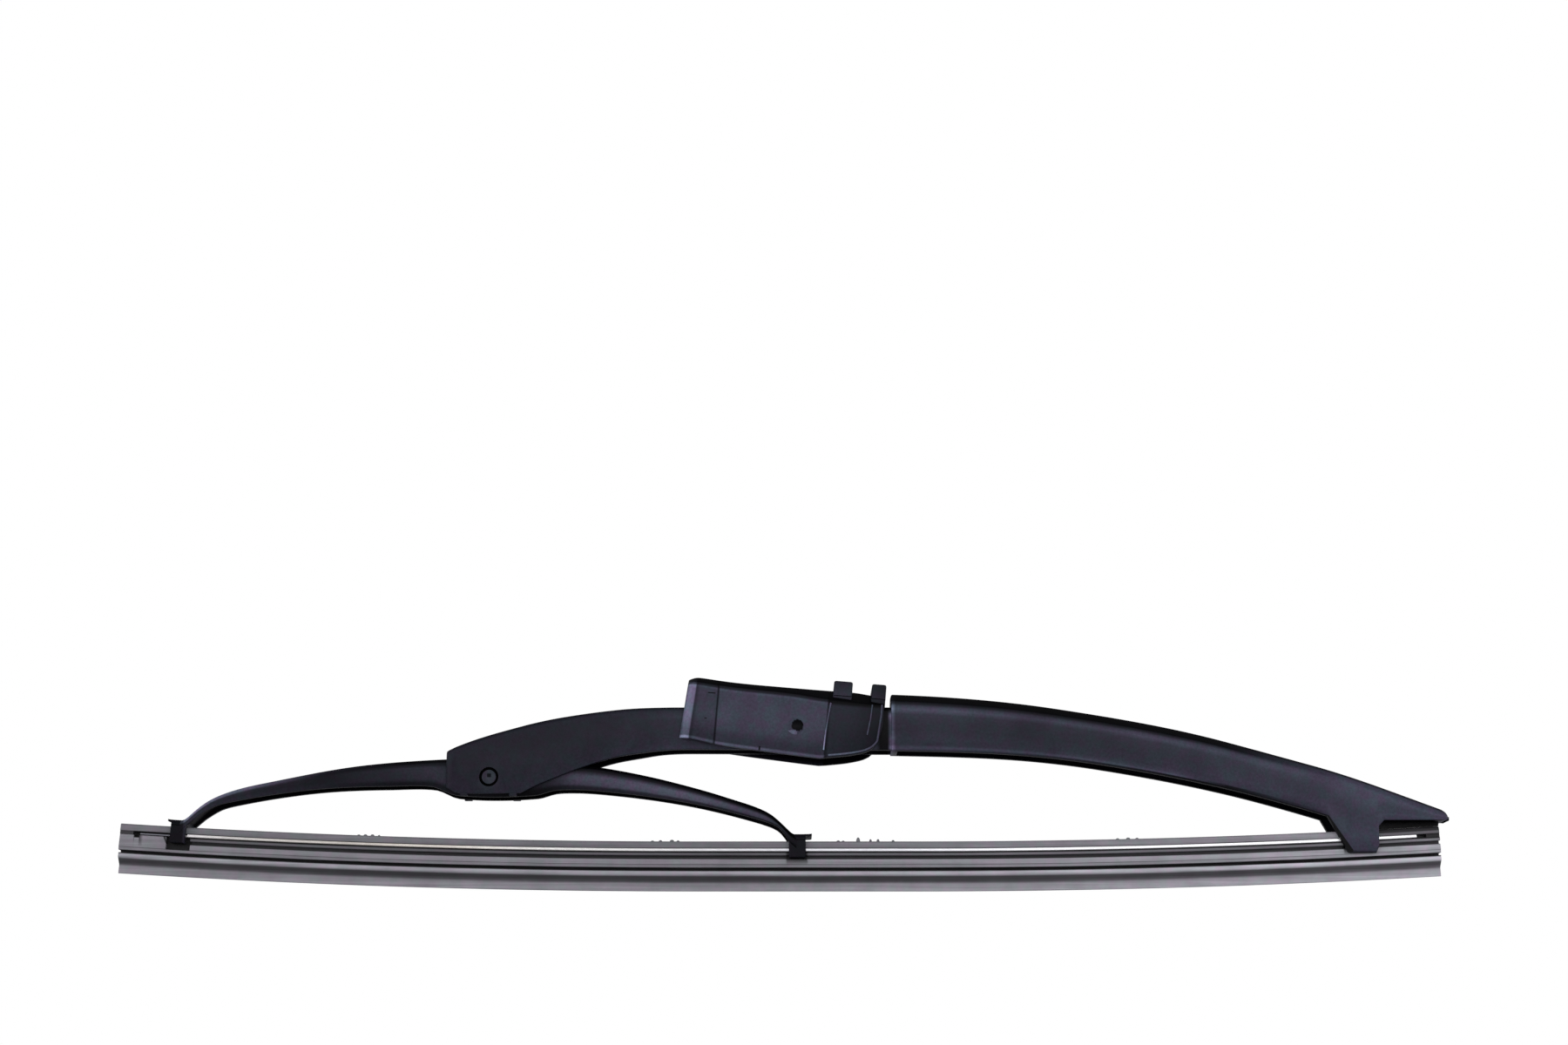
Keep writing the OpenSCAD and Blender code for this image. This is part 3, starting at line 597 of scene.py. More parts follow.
rubberLeft, rubberRight = rubberDims["left"], rubberDims["right"]
leftClawX = rubberDims["clawX"]
pocket0, pocket1 = leftClawX - rubberDims["pocket"], leftClawX + rubberDims["pocket"]
slot0, slot1 = rubberDims["slot0"], rubberDims["slot1"]
mouth0, mouth1 = rubberDims["mouth"]
rubberParts = [
    sweep(rubberSection("end"), [rubberLeft, slot0], 1),
    sweep(rubberSection("plug"), [slot0, mouth0], 1),
    sweep(rubberSection("mouth"), [mouth0, mouth1], 1),
    sweep(rubberSection("plug"), [mouth1, pocket0], 1),
    sweep(rubberSection("pocket"), [pocket0, pocket1], 2),
    sweep(rubberSection("open"), [pocket1, -137.2, -2.3, -1.9, 2.5, 2.9, 124.2, 124.6, 131.3, 131.7,
                                  134, slot1], 2.5),
    sweep(rubberSection("tail"), [slot1, rubberRight], 1)]
# small moulding pips on the back, each with its place, radius and height
pips = []
for x, size, high in ((-99, 0.4, 0.25), (-97.5, 0.45, 0.35), (-95.9, 0.45, 0.4), (-94.4, 0.3, 0.3),
                      (-32.4, 0.4, 0.25), (-30.6, 0.4, 0.35), (-28, 0.5, 0.45), (-26.6, 0.35, 0.3),
                      (9.7, 0.4, 0.3), (10.8, 0.35, 0.25), (14.2, 0.45, 1.0), (17, 0.3, 0.6),
                      (18.7, 0.35, 0.6), (22.1, 0.35, 0.4), (73, 0.4, 0.3), (75.4, 0.5, 0.4),
                      (77.4, 0.4, 0.3)):
    rings = []
    for k in range(5):
        a = k / 5 * math.pi / 2
        turns = [2 * math.pi * i / 16 for i in range(16)]
        rings.append([(x + size * math.cos(a) * math.cos(t),
                       -2.6 + 0.35 * math.cos(a) * math.sin(t),
                       seat(x) - 0.05 + high * math.sin(a)) for t in turns])
    pips.append(loft([rings]))
rubber = makeObject("rubber_element", *merge(loft(rubberParts), *pips), 30)


def heightAt(x, y, z):
    # How high a vertex is above the lip. The flange left of the pocket takes the body's band of
    # painted light and shade.
    x, h = unbent(x, z)
    if x < pocket0 and 6.7 < h < 8.6:
        h = 6.6
    return h / rubberDims["height"]


def shadeAt(x, y, z):
    x, h = unbent(x, z)
    near = 0.02
    # painted shade in the hollow of the pocket and the mouth of the rails' slot
    if pocket0 - near < x < pocket1 + near and abs(y) < 2.88 and 5.7 < h < 8.75:
        return 0.03
    if mouth0 - near < x < mouth1 + near and abs(y) < 3.02 and 8.05 < h < 9.46:
        return 0.03
    # painted light: the slot's dark line runs out into the lighter end
    if x < -150.4 and 8.6 < h < 9.46:
        return 3.0
    # the shadows beside the claws and under the tail
    if (-2 <= x <= 2.6 or 124.5 <= x <= 131.4) and 5.8 < h < 8.6:
        return 0.15 if h > 6.5 else 0.7
    if x > 131.5 and h > 9.3:
        return 0.5 if h < 10.08 else 0.05
    return 1.0


store(rubber, "height", heightAt)
store(rubber, "shade", shadeAt)
done(rubber, rubberMat, None, "rubber", "rubber")
print("rubber built")

# Spring rails, notched where the left claw grips
rails = {
    "left": -148.9, "right": 141.1, "low": 8.72, "wide": 2.2, "thick": 0.66, "proud": 0.1,
    "leftThick": 0.34, "notch": 2.0, "notchDeep": 0.35, "notchThick": 0.5}
railLook = {
    "dark": (0.80, 0.80, 0.82), "light": (0.98, 0.98, 0.98), "rough": 0.34, "metal": 0.55,
    "stretch": (60, 2500, 2500),
    # the tint is painted light along the rail: near black in the shade left of the claw, dimmer and
    # warmer towards the left, white to the right
    "paintedLightTint": [
        (-0.150, (0.17, 0.17, 0.19)), (-0.1415, (0.17, 0.17, 0.19)), (-0.139, (0.75, 0.72, 0.72)),
        (-0.129, (0.49, 0.47, 0.45)), (-0.102, (0.44, 0.41, 0.37)), (-0.080, (0.6, 0.56, 0.50)),
        (-0.058, (0.64, 0.63, 0.60)), (-0.003, (0.58, 0.58, 0.60)), (0.037, (0.76, 0.76, 0.78)),
        (0.080, (1, 1, 1)), (0.15, (1, 1, 1))]}
railMat = steel("rail_steel", railLook)


def railRings(side, inset, x0, x1, thick):
    outer = rubberDims["head"] + rails["proud"]
    inner = outer - rails["wide"]
    low, high = rails["low"], rails["low"] + thick
    pts = [(side * inner, low), (side * (outer - inset), low), (side * (outer - inset), high),
           (side * inner, high)]
    return sweep(rounded(pts, [0.05, 0.14, 0.14, 0.05], 3), [x0, x1], 3)


for side, name in ((-1, "near"), (1, "far")):
    n0, n1 = leftClawX - rails["notch"], leftClawX + rails["notch"]
    parts = [railRings(side, 0, rails["left"], n0, rails["leftThick"]),
             railRings(side, rails["notchDeep"], n0, n1, rails["notchThick"]),
             railRings(side, 0, n1, rails["right"], rails["thick"])]
    rail = makeObject("rail_" + name + "_strip", *loft(parts), 30)
    done(rail, railMat, None, "rail_steel", "rail_" + name)
    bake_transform(rail)
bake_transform(rubber)
print("rails built")

# Bridge: the fork and rail to the left, the tapered arm to the right.
# In a plastic's look, each of the bands, painted light and shade across the faces, is (place along
# the part, levels across the face), and the gain is painted light and shade along the part.
bridgeDims = {
    "rivetX": -69.6, "rivetZ": -11.3, "rivetSeat": 2.2, "forkEnd": -79.4, "forkHalf": 5.2,
    "forkFoot": -15.0, "forkBevel": 0.7, "footX": 5.55, "railHalf": 4.2, "railTop": 4.9,
    "wall": 1.2, "shoulder": 21.9, "armHalf": 4.75, "armBevel": 1.75, "armInside": 3.6,
    "ribs": (49.0, 76.1, 103.2), "ribHalf": 3.7, "tailEnd": 148.3, "nose": 3.4, "noseInset": 1.98,
    "clawX": 127.9, "clawLength": 7.0}
plasticTints = ((1.12, 0.90, 1.02), (0.90, 1.08, 1.0))
bridgeLook = {
    "dark": (0.0205, 0.0192, 0.0305), "light": (0.0290, 0.0312, 0.0450), "tints": plasticTints,
    "mottle": 0.28, "specular": 0.065, "rough": 0.36, "bump": 0.35, "patchScale": 90,
    "grainScale": 4200,
    # the bands paint light and shade across the faces: light lines at the foot, a highlight under
    # the top bevel, and dark top bevels
    "paintedLightBands": [
        (-40, [(0, 1.5), (0.25, 1.25), (0.7, 1.1), (0.92, 1.15), (1.0, 1.2), (1.3, 0.8), (2, 0.5)]),
        (24, [(0, 0.9), (0.03, 2.0), (0.08, 1.9), (0.12, 1.1), (0.25, 1.2), (0.42, 0.95),
            (0.6, 1.0), (0.74, 1.25), (0.84, 2.7), (0.9, 1.8), (0.95, 0.4), (1.02, 0.05),
            (2, 0.02)]),
        (86, [(0, 0.05), (0.035, 0.2), (0.055, 2.6), (0.1, 1.7), (0.2, 1.1), (0.42, 0.95),
            (0.6, 1.0), (0.74, 1.15), (0.84, 2.0), (0.9, 1.5), (0.95, 0.4), (1.02, 0.06),
            (2, 0.02)]),
        (98, [(0, 0.05), (0.07, 0.1), (0.1, 1.0), (0.25, 1.2), (0.42, 1.05), (0.6, 1.0),
            (0.74, 1.1), (0.84, 1.7), (0.92, 1.4), (0.97, 0.5), (1.04, 0.08), (2, 0.05)]),
        (124, [(0, 0.05), (0.04, 0.9), (0.1, 1.0), (0.25, 1.2), (0.42, 1.05), (0.6, 1.0),
            (0.84, 1.35), (1.0, 1.4), (1.5, 1.2), (1.8, 0.3), (2, 0.1)])],
    # the gain paints light and shade along the bridge: a darker fork, a dark line of shade and a
    # highlight at the shoulder, and more light towards the tail
    "paintedLightAlong": [
        (-80, 0.56), (-45, 0.56), (-25, 0.9), (18.5, 0.8), (19, 0.06), (21.7, 0.06), (21.75, 4.0),
        (22.0, 4.0), (22.25, 1.05), (50, 0.92), (72, 0.9), (86, 1.3), (110, 1.35), (120, 1.55),
        (132, 1.9), (149, 2.0)]}
bridgeMat = plastic("bridge_plastic", bridgeLook)
rx, rz = bridgeDims["rivetX"], bridgeDims["rivetZ"]
forkEnd, shoulder, tailEnd = bridgeDims["forkEnd"], bridgeDims["shoulder"], bridgeDims["tailEnd"]
forkFoot, forkHalf, forkBevel = (bridgeDims[k] for k in ("forkFoot", "forkHalf", "forkBevel"))
# each point of a line is (x, value, slope)
forkTop = follow([
    (forkEnd, -5.3, 0.47), (rx + 8, 0.6, 0.27), (rx + 19, 2.85, 0.155),
    (-27, bridgeDims["railTop"], 0), (shoulder, bridgeDims["railTop"], 0)])
forkLow = follow([
    (forkEnd, forkFoot + 1.4, -0.5), (forkEnd + 3, forkFoot, -0.05), (rx + 7.2, forkFoot, 0),
    (rx + 8.6, forkFoot + 0.7, 0.55), (rx + 17, -10.65, 0.42), (rx + 27, -7.2, 0.29),
    (-34, -5.6, 0.17), (-24, -4.85, 0), (shoulder, -5.0, 0)])
forkPlan = follow([
    (forkEnd, 4.35, 1.2), (forkEnd + 0.6, 4.85, 0.6), (forkEnd + 2, forkHalf, 0),
    (-40, forkHalf, 0), (-29, bridgeDims["railHalf"], 0), (shoulder, bridgeDims["railHalf"], 0)])
xs = stations([
    forkEnd, forkEnd + 0.3, forkEnd + 0.6, forkEnd + 2, forkEnd + 3, rx, rx + 7.2, rx + 8.6,
    rx + 17, rx + 27, -40, -34, -29, -24, shoulder + 0.6], 1.5)
outer = [strip(x, forkPlan(x), forkLow(x), forkTop(x), forkBevel, 0.3, 0.2, 0.12) for x in xs]
inner = [strip(x, min(forkPlan(max(x, forkEnd + 2)) - bridgeDims["wall"], 4.0), forkLow(x),
               forkTop(x) - min(bridgeDims["wall"], 0.8 + (x - forkEnd) * 0.1), forkBevel * 0.6,
               0.2, 0.1, 0.05) for x in xs]
fork = makeObject("bridge_fork", *shell(outer, inner, 0, len(xs) - 1))
for s in (-1, 1):
    seatY = s * forkHalf
    cut(fork, cylinderY(rx, rz, bridgeDims["rivetSeat"], seatY - 0.6, seatY + 0.6, 72))
tell(fork, forkLow, forkTop, forkBevel, hollow(lambda x: forkPlan(x) - 0.8, forkTop, 0.7, 0.12))
done(fork, bridgeMat, "bridge", "bridge_plastic", "bridge")
# feet under the fork, one each side of the rivet
feet = []
for x in (rx - bridgeDims["footX"], rx + bridgeDims["footX"]):
    feet += boxPair(x - 0.9, x + 0.9, 4.0, 5.08, forkFoot - 0.6, forkFoot + 0.6)
addPiece("bridge_feet", feet, bridgeMat, "bridge", "bridge_plastic")

clawX, clawLength = bridgeDims["clawX"], bridgeDims["clawLength"]
claw0, claw1 = clawX - clawLength / 2, clawX + clawLength / 2
clawFoot = bowZ(clawX) + rubberDims["fingerLow"] - 1.45
tailLow = seat(clawX + 12) + 1.5
armTopLine = [(shoulder, 7.95, -0.035), (60, 4.6, -0.155), (98, -2.9, -0.272), (118, -8.45, -0.28),
              (134, -13.75, -0.37), (tailEnd - 2, -18.35, -0.372)]
armLowLine = [(shoulder, -5.2, -0.02), (47, -6.0, -0.06), (70, -8.5, -0.16), (98, -13.95, -0.235),
              (claw0 - 4, -20.1, -0.3)]
clawLine = [(claw0 - 4, -20.1), (claw0 + 0.35, clawFoot + 0.3), (claw0 + 0.8, clawFoot),
            (claw1 - 0.3, clawFoot), (claw1 + 0.4, clawFoot + 1.6), (claw1 + 0.5, tailLow - 1.4),
            (claw1 + 1.8, tailLow), (tailEnd, tailLow + 0.1)]


def armLow(x):
    return lineAt(armLowLine if x <= claw0 - 4 else clawLine, x)


def armTop(x):
    last = armTopLine[-1][0]
    return lineAt(armTopLine, min(x, last)) - 0.37 * max(0, x - last)


# the shoulder's rounded edge, the open channel from i0 to i1, and the solid nose
xs = [shoulder + d for d in (0, 0.06, 0.15, 0.4, 1.4)]
insets = [0.35, 0.2, 0.1, 0, 0]
i0 = len(xs) - 1
noseX = tailEnd - bridgeDims["nose"]
clawMarks = [p[0] for p in clawLine if p[0] < noseX]
xs += stations([xs[-1], 60, 98] + clawMarks + [noseX], 1.5)[1:]
insets += [0] * (len(xs) - len(insets))
i1 = len(xs) - 1
# the nose's sides stay straight for a share of its length and then turn in
straight = 0.41
for t in (0.2, straight, 0.55, 0.7, 0.8, 0.88, 0.94, 0.98, 1.0):
    xs.append(noseX + bridgeDims["nose"] * t)
    turn = max(0, t - straight) / (1 - straight)
    insets.append(bridgeDims["noseInset"] * (1 - math.sqrt(max(0, 1 - turn ** 2))))
outer = []
for k, (x, d) in enumerate(zip(xs, insets)):
    # the nose narrows more than it thins
    foot, top, bevel = (0.35 * d, 0.5 * d, 0.35 * d) if k > i1 else (0, d, d)
    outer.append(strip(x, bridgeDims["armHalf"] - d, armLow(x) + foot, armTop(x) - top,
                       bridgeDims["armBevel"] - bevel, 0.35, 0.2, 0.15))
inner = [strip(x, bridgeDims["armInside"], armLow(x), armTop(x) - bridgeDims["wall"],
               bridgeDims["armBevel"] * 0.75, 0.3, 0.15, 0.05) for x in xs[i0:i1 + 1]]
arm = makeObject("bridge_arm", *shell(outer, inner, i0, i1))
tell(arm, armLow, armTop, bridgeDims["armBevel"], hollow(lambda x: 3.9, armTop, 0.9, 0.08))
done(arm, bridgeMat, "bridge", "bridge_plastic")

# cross ribs, the rib in the tail, the boss for the pin and the claw's fingers
ribHalf = bridgeDims["ribHalf"]
ribs = []
for x in bridgeDims["ribs"]:
    top = armTop(x) - 0.6
    ribs.append(boxPart(x - 0.5, x + 0.5, -ribHalf, ribHalf, top - 4.4, top, 0.08))
rib0, rib1 = claw1 - 0.8, rubberRight
tailRib = [(rib0, seat(rib0) + 0.35), (rib1, seat(rib1) + 0.35), (rib1, armLow(rib1) + 0.5),
           (noseX + 0.5, armTop(noseX + 0.5) - 0.6), (rib0, armTop(rib0) - 0.6)]
ribs.append(extrude(tailRib, -0.6, 0.6))
ribs.append(cylinderY(0, 0, 3.5, -ribHalf, ribHalf))
fingerHalf = (clawLength - 0.8) / 2
fingerLow, fingerTop = rubberDims["fingerLow"], rubberDims["fingerLow"] + rubberDims["fingerThick"]
for finger in boxPair(-fingerHalf, fingerHalf, 2.0, 3.9, fingerLow, fingerTop, 0.08):
    ribs.append(placed(finger, clawX, bowZ(clawX), bowSlope(clawX)))
# the ribs, boss and fingers are painted darker as the shade inside the arm, and near black at the
# tail
addPiece("bridge_ribs", ribs, bridgeMat, "bridge", "bridge_plastic",
         lambda x, y, z: 0.35 if x < 120 else 0.02)
# a bevel down the lug's left edge, painted near black as shade, given as (x, z, width)
lugEdge = ((claw0 - 4, -20.1, 0.25), (claw0 + 0.35, clawFoot + 0.3, 1.0),
           (claw0 + 0.8, clawFoot + 0.05, 0.7))
bevels = []
for y0, y1 in ((-4.6, -4.775), (4.6, 4.775)):
    bevels.append(loft([[[(x, y0, z), (x + 0.02, y1, z + 0.02), (x + w, y1, z + w * 0.45),
                          (x + w, y0, z + w * 0.45)] for x, z, w in lugEdge]]))
addPiece("bridge_lug_bevels", bevels, bridgeMat, "bridge", "bridge_plastic", 0.02)
print("bridge built")

# Yoke: two bowed arms on a hub, a claw at each end
yokeDims = {
    "leftLength": 3.4, "leftWeb": 1.3, "leftHorn": 0.9, "midX": 0.4, "midLength": 3.8,
    "midWeb": 1.4, "midHorn": 1.4, "wall": 1.1, "bevel": 0.8, "clawIn": 3.55, "clawOut": 4.65,
    "hub": 2.8, "hubHalf": 3.6}
# the yoke's bands and gain are painted light and shade: dark top bevels, a light top and a
# highlight by the left claw, a lit right arm, and shade by the fork and at the middle claw
yokeLook = {
    "dark": (0.0210, 0.0200, 0.0300), "light": (0.0290, 0.0290, 0.0410), "tints": plasticTints,
    "mottle": 0.28, "specular": 0.04, "rough": 0.38, "bump": 0.35, "patchScale": 110,
    "grainScale": 4400,
    "paintedLightBands": [
        (-125, [(0, 0.6), (0.5, 0.4), (0.8, 0.45), (0.9, 0.9), (1.0, 2.2), (1.4, 3.2), (2, 3.4)]),
        (-108, [(0, 0.7), (0.5, 0.4), (0.9, 0.4), (1.0, 0.5), (1.4, 0.8), (2, 0.8)]),
        (-88, [(0, 0.4), (0.12, 0.3), (0.3, 1.1), (0.8, 1.2), (0.9, 0.5), (1.1, 0.1), (2, 0.05)]),
        (-60, [(0, 0.2), (0.14, 0.25), (0.26, 0.9), (0.5, 1.1), (0.66, 1.05), (0.78, 0.5),
            (0.9, 0.1), (1.3, 0.03), (2, 0.03)])],
    "paintedLightAlong": [
        (-145, 0.5), (-138.6, 0.5), (-138, 2.4), (-132, 1.9), (-120, 1.3), (-105, 0.8), (-88, 0.7),
        (-80, 1.0), (-62, 0.25), (-56, 0.8), (-50, 2.2), (-38, 3.2), (-22, 3.2), (-8, 2.4),
        (-4, 1.0), (-1, 0.25), (3, 0.25)]}
yokeMat = plastic("yoke_plastic", yokeLook)
lx, mx = leftClawX, yokeDims["midX"]
leftWeb = seat(lx) + 1.3
midWeb = seat(mx) + 1.35
yokeTop = follow([
    (lx + 1, leftWeb, 0.05), (lx + 2.6, leftWeb + 0.85, 0.95), (lx + 5, leftWeb + 3.05, 0.85),
    (lx + 10.8, rz - 3.5, 0.37), (lx + 22.7, rz - 0.55, 0.21), (lx + 40.5, rz + 2.7, 0.13),
    (rx - 12, rz + 4.2, 0.05), (rx - 2, rz + 4.5, 0), (rx + 14, rz + 3.65, -0.1),
    (rx + 27.5, rz + 2.05, -0.17), (mx - 28, rz - 1.05, -0.26), (mx - 16, rz - 4.5, -0.33),
    (mx - 7, rz - 7.75, -0.5), (mx - 1.4, midWeb + 0.55, -0.95), (mx - 0.2, midWeb - 0.15, -0.25)])
yokeLow = follow([
    (lx + 1, leftWeb - 2.8, 0.1), (lx + 1.9, leftWeb - 1.55, 1), (lx + 3.2, leftWeb - 0.35, 0.85),
    (lx + 5.1, leftWeb + 1.25, 0.65), (lx + 9.1, rz - 6.3, 0.33), (lx + 13.1, rz - 5.35, 0.2),
    (lx + 29.2, rz - 2.85, 0.11), (lx + 47, rz - 1.95, 0.01), (rx - 13, rz - 2, -0.12),
    (rx - 7.5, rz - 4, -0.1), (rx + 10.5, rz - 4, 0.08), (rx + 14.7, rz - 2.9, 0.15),
    (rx + 19, rz - 2.7, 0), (rx + 27.5, rz - 3.25, -0.1), (mx - 23, rz - 6.05, -0.2),
    (mx - 11, rz - 8.95, -0.28), (mx - 7.1, rz - 10.1, -0.36), (mx - 3.8, rz - 11.8, -0.95),
    (mx - 1.4, midWeb - 2.1, -1.5), (mx - 0.2, midWeb - 3.1, -0.3)])
yokePlan = follow([
    (lx + 1, 4.75, 0), (lx + 12, 4.3, -0.02), (rx - 14, 3.8, 0), (rx + 30, 3.8, 0),
    (mx - 12, 4.35, 0.02), (mx - 0.2, 4.75, 0)])
xs = stations([
    lx + 1, lx + 1.8, lx + 2.6, lx + 3.8, lx + 5, lx + 7.5, lx + 10.8, rx - 14, rx - 7.5, rx,
    rx + 10.5, rx + 14.7, rx + 19, rx + 27.5, mx - 28, mx - 16, mx - 10.7, mx - 7, mx - 4.5,
    mx - 2.8, mx - 1.4, mx - 0.2], 1.3)
outer = [strip(x, yokePlan(x), yokeLow(x), yokeTop(x), yokeDims["bevel"], 0.25, 0.15, 0.1)
         for x in xs]
inner = [strip(x, yokePlan(x) - yokeDims["wall"], yokeLow(x), yokeTop(x) - 1.05,
               yokeDims["bevel"] * 0.5, 0.15, 0.08, 0.05) for x in xs]
yokeArms = makeObject("yoke_arms", *shell(outer, inner, 0, len(xs) - 1))
tell(yokeArms, yokeLow, yokeTop, yokeDims["bevel"],
     hollow(lambda x: yokePlan(x) - 0.9, yokeTop, 0.9, 0.15))
done(yokeArms, yokeMat, "yoke", "yoke_plastic", "yoke")


def clawParts(x, length, web, direction, horn):
    # Legs with fingers, a saddle over the rubber, and a horn that points in the direction
    half = length / 2
    out, inn = yokeDims["clawOut"], yokeDims["clawIn"]
    roof = rubberDims["height"] + 0.15
    up = roof + web
    parts = boxPair(-half, half, inn, out, fingerLow, roof + 0.3, 0.14)
    parts += boxPair(-half + 0.15, half - 0.15, 2.0, inn + 0.4, fingerLow, fingerTop, 0.06)
    saddle = rounded([(-out, roof), (out, roof), (out, up - 0.8), (out - 0.8, up), (-out + 0.8, up),
                      (-out, up - 0.8)], [0.02, 0.02, 0.25, 0.25, 0.25, 0.25])
    soft = 0.12
    parts.append(loft([[[(dx, w * (1 - d / out), h - (d if h > roof + 0.4 else 0))
                         for w, h in saddle]
                        for dx, d in ((-half, soft), (-half + soft, 0), (half - soft, 0),
                                      (half, soft))]]))
    reach = 0.3 + horn
    side = [(0, -0.52), (reach * 0.55, -0.5), (reach * 0.8, -0.46), (reach, -0.38), (reach, 0.1),
            (reach * 0.8, 0.04), (reach * 0.55, 0.0), (0, -0.01)]
    outline = [(direction * (half - 0.3 + px), up + pz) for px, pz in side]
    parts.append(extrude(outline, -inn - 0.5, inn + 0.5, soft))
    return placed(merge(*parts), x, bowZ(x), bowSlope(x))


leftClaw = clawParts(lx, yokeDims["leftLength"], yokeDims["leftWeb"], -1, yokeDims["leftHorn"])
midClaw = clawParts(mx, yokeDims["midLength"], yokeDims["midWeb"], 1, yokeDims["midHorn"])
hub = cylinderY(rx, rz, yokeDims["hub"], -yokeDims["hubHalf"], yokeDims["hubHalf"])
addPiece("yoke_claws", [leftClaw, midClaw, hub], yokeMat, "yoke", "yoke_plastic")
print("yoke built")

# Rivet with a head at each end, dark rings of painted shade in the recesses around the heads, and
# the pivot pin.
# The profiles are (distance from the middle plane, radius).
rivetDims = {
    "shank": 1.3, "shankHalf": 5.0, "pin": 1.8, "pinHalf": 6.0,
    "head": [(4.6, 1.8), (4.66, 1.8), (4.68, 1.66), (5.04, 1.58), (5.08, 1.52), (5.08, 0.6)],
    "seat": [(4.75, 1.82), (4.8, 1.84), (4.8, 2.19), (4.75, 2.2), (4.75, 1.82)]}
rivetLook = {
    "dark": (0.0150, 0.0150, 0.0210), "light": (0.0230, 0.0230, 0.0300), "tints": plasticTints,
    "mottle": 0.2, "specular": 0.008, "rough": 0.40, "bump": 0.3, "patchScale": 400,
    "grainScale": 5200, "paintedLightBands": [(0, [(0, 1), (1, 1)])], "paintedLightAlong": [(-90, 1.0), (0, 1.0)]}
pinLook = {
    "dark": (0.30, 0.30, 0.32), "light": (0.46, 0.46, 0.48), "rough": 0.30, "metal": 1.0,
    "stretch": (80, 1200, 80)}
rivetMat = plastic("rivet_steel", rivetLook)
pinMat = steel("pin_steel", pinLook)


def rivetLevel(x, y, z):
    # A grey mark in the middle of the head, a light face, and a dark rim painted as the shade of
    # the recess around the head
    if abs(y) > 5.09:
        return 0.35
    return 2.0 if math.hypot(x - rx, z - rz) < 1.61 and abs(y) > 5 else 0.01


rivet = [cylinderY(rx, rz, rivetDims["shank"], -rivetDims["shankHalf"], rivetDims["shankHalf"])]
rivet += [lathe(rx, rz, [(s * w, r) for w, r in rivetDims["head"]]) for s in (-1, 1)]
rivet += boxPair(rx - 0.4, rx + 0.5, 4.9, 5.1, rz - 0.1, rz + 0.75, 0.02)
rivetObj = makeObject("rivet_body", *merge(*rivet))
tell(rivetObj, level=rivetLevel)
done(rivetObj, rivetMat, "bridge", "rivet_steel", "yoke_rivet")
# thin dark rings in the recesses round the heads, painted shade
recessShadeRings = [lathe(rx, rz, [(s * w, r) for w, r in rivetDims["seat"]]) for s in (-1, 1)]
addPiece("bridge_rivet_shade_rings", recessShadeRings, rivetMat, "bridge", "rivet_steel", 0.01)
pinHalf = rivetDims["pinHalf"]
pin = makeObject("pin_body", *cylinderY(0, 0, rivetDims["pin"], -pinHalf, pinHalf, 64, 0.2))
done(pin, pinMat, "bridge", "pin_steel", "connector_pin")
print("rivet and pin built")

# Connector, built level and then turned to its tilt. The panel is (left, right, depth).
shellDims = {
    "left": -26.2, "right": 19.8, "half": 7.0, "deck": 9.0, "deckThick": 1.4, "cheek": 1.3,
    "drop": 6.4, "tilt": 4.6, "lean": 4.3, "panel": (-18.2, 7.2, 0.25), "hook1": 8.0,
    "hook1Length": 4.3, "hook1Half": 6.3, "hook2Half": 5.85, "window": 4.4, "windowHalf": 4.1,
    "hookRise": 2.3, "dome": 4.7, "domeRise": 0.75}
# the connector's bands and gain are painted light and shade: light lower edges, a highlight under
# the dark top bevel, a highlight on the left rim, dark lines of shade at the panel's ends, and
# darker towards the right end
connectorLook = {
    "dark": (0.0235, 0.0235, 0.0350), "light": (0.0305, 0.0320, 0.0470), "tints": plasticTints,
    "mottle": 0.26, "specular": 0.055, "rough": 0.36, "bump": 0.3, "patchScale": 120,
    "grainScale": 4600,
    "paintedLightBands": [
        (7, [(0, 2.4), (0.03, 2.8), (0.06, 0.9), (0.16, 0.95), (0.3, 1.4), (0.5, 1.65), (0.8, 1.5),
            (0.9, 1.5), (0.94, 1.9), (0.965, 0.4), (1.02, 0.05), (2, 0.04)]),
        (7.2, [(0, 1.0), (0.5, 1.0), (0.9, 1.1), (0.95, 0.1), (1.05, 0.05), (2, 0.05)])],
    "paintedLightAlong": [
        (-26.3, 1.6), (-25.7, 4.0), (-24.2, 3.6), (-23.9, 0.5), (-23.0, 1.0), (-18.4, 1.0),
        (-18.3, 0.3), (-18.0, 0.3), (-17.9, 1.3), (6.8, 1.2), (6.9, 0.4), (7.5, 0.4), (7.6, 0.7),
        (13.5, 0.6), (17, 0.4), (20, 0.3)]}
connectorMat = plastic("connector_plastic", connectorLook)
left, right, deck, tilt = (shellDims[k] for k in ("left", "right", "deck", "tilt"))
foot = -shellDims["drop"]
half = shellDims["half"]
deckLine = follow([
    (left, 9.1, 0.4), (left + 2.1, 9.6, -0.02), (-15, 9.15, -0.04), (-5, 9.0, 0), (8, 9.15, 0.02),
    (right, 9.45, 0.02)])
cheekLow = follow([
    (left, foot + 1.9, 0), (left + 3, foot + 1.7, -0.12), (-16, foot + 0.75, -0.08),
    (-7, foot + 0.2, -0.05), (6, foot - 0.4, -0.03), (7.4, foot - 0.2, 0.18),
    (14, foot + 1.1, 0.28), (17.4, foot + 2.5, 0.75), (19, foot + 4.6, 2.2), (right, foot + 8, 4)])
cheekPlan = follow([
    (left, 5.1, 1.4), (left + 1.2, 6.25, 0.55), (left + 3.6, half, 0), (7, half, 0),
    (right, 6.1, -0.1)])
cheekShoulder = follow([
    (left, 0.9, 0.1), (-16, 1.35, 0.01), (-2, 1.6, 0.05), (7, 2.4, 0.06), (right, 2.9, 0.02)])
